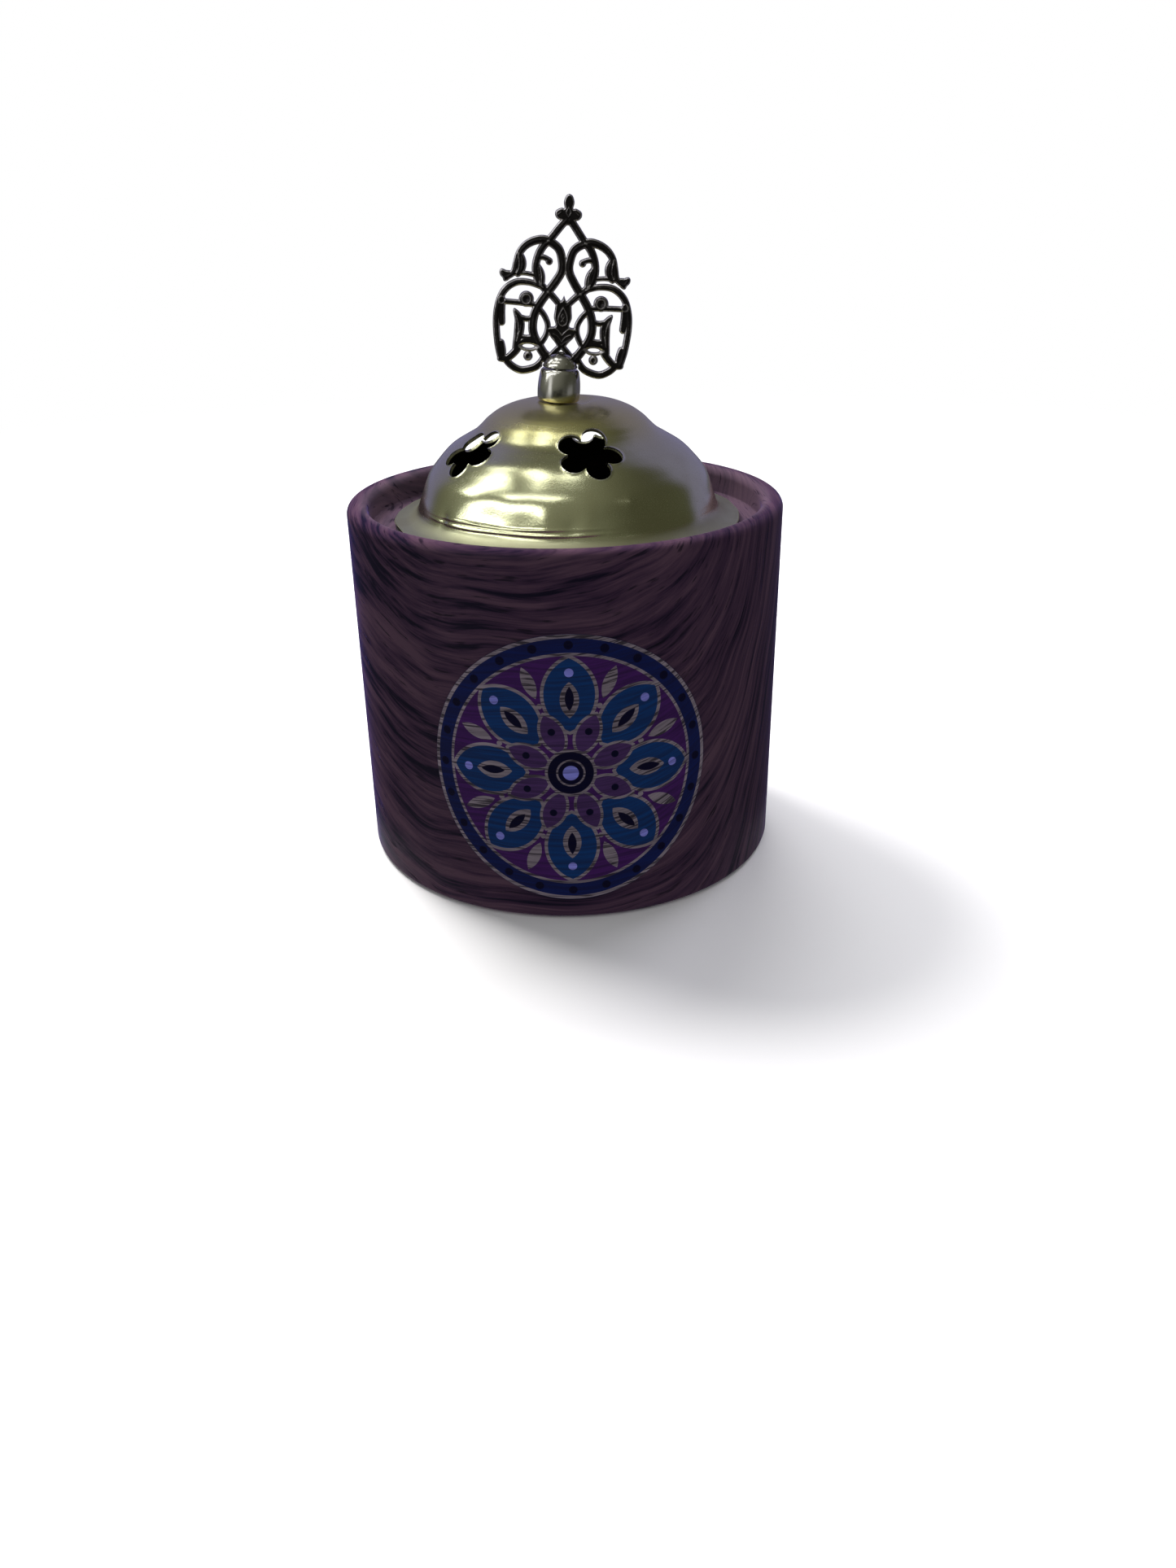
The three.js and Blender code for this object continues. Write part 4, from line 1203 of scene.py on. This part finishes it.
def antiqued_brass():
    """Brass darkened nearly to black, as an antique finish and as painted dark reflection, with
    its raised and rounded edges paler, as rubbed brass and as painted highlight. Its mark is 1 on
    those edges and 0 in the flats."""
    finish = Finish("antiqued_brass", Metallic=1)
    place = finish.place()
    rub = finish.mark("rub")
    patches = finish.noise(place, 0.5, 3, 0.6)
    fine = finish.noise(place, 2.2, 3, 0.6)
    # bare is pale rubbed brass and painted highlight; the near-black is partly an antique finish and
    # partly painted dark reflection
    bare = (rub + (fine - 0.5) * 0.7 + (patches - 0.5) * 1.1).above(0.3, 0.95)
    dark = finish.mix(patches, BROWN_BLACK, BROWN_GREY)
    finish.set("Base Color", finish.mix(bare, dark, RUBBED_HIGHLIGHT))
    finish.set("Roughness", 0.4 - bare * 0.1 + fine * 0.1)
    finish.bump(fine, 0.012)
    return finish


def filigree_plate():
    """The plate on a square grid over its right half, mirrored to the left: cells cut along
    its outline, and a front and a back that stand off the middle plane by half the thickness
    less a small drop, plus the height of the face."""
    columns = int(PLATE_HALF_WIDTH * 1.05 / PLATE_GRID)
    rows = int((PLATE_HEIGHT + 1) / PLATE_GRID)
    x, z = np.meshgrid(np.arange(columns + 1) * PLATE_GRID,
                       PLATE_FOOT - 0.5 + np.arange(rows + 1) * PLATE_GRID)

    def mirrored(values, side=1):
        """Values over the right half, with those over the left before them in each row."""
        values = values.reshape(rows + 1, columns + 1)
        return np.hstack([side * values[:, :0:-1], values]).ravel()

    depth, face, raised = map(mirrored, plate_relief(np.column_stack([x.ravel(), z.ravel()])))
    cells = halved(grid(rows + 1, 2 * columns + 1, closed=False))
    triangles, crossings, border = cut(cells, depth)
    depth, face, raised, x, z = [crossed(values, crossings) for values in (
        np.maximum(depth, 0), np.maximum(face, -EDGE_ROUND), raised, mirrored(x, -1), mirrored(z))]
    # at a crossing the face starts at the edge's own level
    new = len(face) - len(crossings[0])
    depth[new:], face[new:] = 0, -EDGE_ROUND
    stand = np.minimum(PLATE_THICKNESS / 2 - FACE_DROP + face, PLATE_THICKNESS / 2)
    # pale rubbed brass and painted highlight on the rounded edges and the ridges
    rub = smooth((0.46 - depth) / RUB_HIGHLIGHT_EDGE) + smooth((raised - 0.05) / RUB_HIGHLIGHT_RIDGE) * 0.9
    front, back = [np.column_stack([x, y, z]) for y in (-stand, stand)]
    points, faces, used = walled(front, back, triangles, border)
    piece("plate", "lid", antiqued_brass(), finial_placed(points), [faces],
          ["filigree_plate"], {"rub": np.concatenate([rub, rub])[used]}, sharp=50)


# Carried-over nodes


def screw_steel():
    """Plain steel with a fine turned grain."""
    finish = Finish("screw_steel", Metallic=1)
    place = finish.place()
    cloud = finish.noise(place, 0.8, 3)
    finish.set("Base Color", finish.mix(cloud, (0.5, 0.5, 0.51), (0.36, 0.35, 0.35)))
    finish.set("Roughness", 0.28 + cloud * 0.15)
    finish.bump(finish.noise(place, 5, 2), 0.01)
    return finish


def carried_over():
    """The screw and its washer keep the solids' shapes and take the steel."""
    steel = screw_steel().material
    for name in ("finial_screw", "screw_washer"):
        node = frame["nodes"][name]
        for slot in node.material_slots:
            slot.material = steel
        if not node.material_slots:
            node.data.materials.append(steel)


# Floor and lamps

CARD_MIDDLE = [0, 0, 0.09]  # in metres, as all sizes of the stage
CARD_AWAY = 0.8
TENT_RADIUS = 1.6
LAMP_SIZE = 0.4
LAMP_TARGET = (0, 0, 0.07)
FLOOR_REACH = 12
FLOOR_FADE = (120, 700)  # in millimetres
WORLD_LEVEL = 0.46


def seen_by_metal(name, points, faces, finish):
    """A stage surface that shows in reflections alone."""
    made = surface(name, points, faces, finish.material)
    made.visible_camera = made.visible_diffuse = made.visible_shadow = False
    made.visible_transmission = made.visible_volume_scatter = False


def way(azimuth, height):
    """The direction at an angle to the right of the camera's side, and one above level."""
    a, h = math.radians(azimuth), math.radians(height)
    return np.array([math.sin(a) * math.cos(h), -math.cos(a) * math.cos(h), math.sin(h)])


def outward(finish):
    """The direction from the stage's middle, as three values."""
    return finish.split(finish.vector("NORMALIZE", {0: finish.place()}))


def facing(direction, azimuth, height=0):
    """The cosine between a direction of three values and the one at two angles."""
    return sum(value * share for value, share in zip(direction, way(azimuth, height)))


def card(name, azimuth, height, wide, tall, level, turn):
    """A light card, wide and tall in degrees as seen from the lid, turned about its middle."""
    out = way(azimuth, height)
    side = np.cross(out, [0, 0, 1])
    side /= np.linalg.norm(side)
    up = np.cross(side, out)
    c, t = math.cos(math.radians(turn)), math.sin(math.radians(turn))
    side, up = c * side + t * up, c * up - t * side
    w, h = [CARD_AWAY * math.tan(math.radians(v / 2)) for v in (wide, tall)]
    corners = [CARD_MIDDLE + out * CARD_AWAY + a * w * side + b * h * up
               for a, b in ((-1, -1), (1, -1), (1, 1), (-1, 1))]
    finish = Finish(name)
    finish.glow((1, 1, 1), level)
    seen_by_metal(name, corners, [np.array([[0, 1, 2, 3]])], finish)


def tent():
    """A dim half ball round the stage, lilac low behind, brighter high on the left of the
    camera's side, and dark on the right."""
    finish = Finish("tent")
    direction = outward(finish)
    z = direction[2]
    high_left = facing(direction, -50, 40).above(0, 0.9)
    colour = finish.mix(high_left, (0.07, 0.07, 0.052), (0.21, 0.21, 0.175))
    behind = (facing(direction, 173) / (1 - z * z + 0.01) ** 0.5).above(0.36, 0.62)
    finish.glow(finish.mix(behind * (1 - z.above(0.7, 0.95)), colour, (0.2, 0.188, 0.36)))
    rows, steps = 12, 48
    a = 2 * np.pi * np.arange(steps) / steps
    h = np.radians(np.linspace(-4, 84, rows))[:, None]
    points = TENT_RADIUS * turned(np.cos(h), np.sin(h), a).reshape(-1, 3)
    rim = (rows - 1) * steps + ring(steps)
    seen_by_metal("tent", np.vstack([points, [[0, 0, TENT_RADIUS]]]),
                  [grid(rows, steps), fan(rim, len(points))], finish)


def reflected_floor():
    """A dull lilac ring on the floor, from beside the cup to the tent's foot, which metal
    and wood mirror in place of the white floor."""
    finish = Finish("dull_floor")
    direction = outward(finish)
    colour = finish.mix(direction[1].above(-0.1, 0.4), (0.08, 0.08, 0.072), (0.11, 0.107, 0.13))
    for azimuth, level, start, full in (
            (-8, 0.01, 0.87, 0.94), (-56, 0.35, 0.94, 0.985), (62, 0.26, 0.94, 0.985)):
        zone = facing(direction, azimuth).above(start, full)
        colour = finish.mix(zone, colour, (level, level, level))
    finish.glow(colour)
    steps = 64
    reach = np.array([[0.056], [TENT_RADIUS]])
    points = turned(reach, 0.0006, 2 * np.pi * np.arange(steps) / steps + 0 * reach)
    seen_by_metal("reflected_floor", points.reshape(-1, 3), [grid(2, steps)], finish)


def world():
    """White for what the camera and the metal see, and softer for the rest."""
    made = bpy.data.worlds.new("studio")
    bpy.context.scene.world = made
    made.use_nodes = True
    nodes = Nodes(made.node_tree)
    camera, metal, glass = [nodes.node("ShaderNodeLightPath", out=f"Is {kind} Ray")
                            for kind in ("Camera", "Glossy", "Transmission")]
    seen = camera.math("MAXIMUM", metal).math("MAXIMUM", glass)
    back = made.node_tree.nodes["Background"]
    nodes.feed(back.inputs["Strength"], WORLD_LEVEL + seen * (1 - WORLD_LEVEL))
    nodes.feed(back.inputs["Color"], (1, 1, 1, 1))


def floor():
    """A pale floor, just under the cup, that fades to white far off."""
    finish = Finish("floor", Base_Color=(0.86, 0.86, 0.87, 1), Roughness=0.9,
                    Specular_IOR_Level=0.1)
    far = finish.vector("LENGTH", {0: finish.place()}, "Value").above(*FLOOR_FADE)
    pale = Value(finish, finish.shader.outputs[0])
    white = finish.node("ShaderNodeEmission")
    finish.show(finish.node("ShaderNodeMixShader", None, {0: far, 1: pale, 2: white}))
    corners = FLOOR_REACH * np.array([[-1, -1, 0], [1, -1, 0], [1, 1, 0], [-1, 1, 0]])
    made = surface("floor", corners, [np.array([[0, 1, 2, 3]])], finish.material)
    made.location.z = -0.0002
    made.visible_diffuse = False


def lamp(name, place, power, colour):
    """A round lamp that looks at the object and doesn't show in its reflections."""
    data = bpy.data.lights.new(name, "AREA")
    data.shape, data.size = "DISK", LAMP_SIZE
    data.energy, data.color = power, colour
    made = bpy.data.objects.new(name, data)
    bpy.context.scene.collection.objects.link(made)
    made.visible_glossy = False
    turn = (Vector(LAMP_TARGET) - Vector(place)).to_track_quat("-Z", "Y")
    made.matrix_world = Matrix.Translation(place) @ turn.to_matrix().to_4x4()


def studio():
    """A white world, a pale floor and three lamps, and what only reflections show: a dim
    tent, a dull floor and light cards."""
    world()
    floor()
    lamp("left", (-0.4, 0.42, 0.75), 12, (1, 0.98, 0.96))
    lamp("right", (0.5, 0.5, 0.6), 2.5, (0.9, 0.88, 1))
    lamp("above", (0, 0.5, 0.8), 3.5, (1, 1, 1))
    tent()
    reflected_floor()
    card("tall_window", -93, 42, 12, 28, 3.8, 6)
    card("skylight", -66, 73, 20, 12, 3.2, 0)
    card("low_window", -53, 25, 58, 9, 3.9, -17)
    card("bar", -40, 52, 46, 7, 3.2, -16)
    card("crown_light", 10, 77, 12, 8, 2, 0)
    card("far_pane", -110, 56, 9, 14, 2, 0)
    card("table_light", -50, 4, 18, 22, 1.1, 0)
    card("spot", 52, 34, 6, 4, 0.5, 0)


studio()
wooden_cup()
medallion()
charcoal_bowl()
lid_dome()
lid_collar()
plating = ferrule_plating()
ferrule_barrel(plating)
ferrule_cap(plating)
filigree_plate()
carried_over()
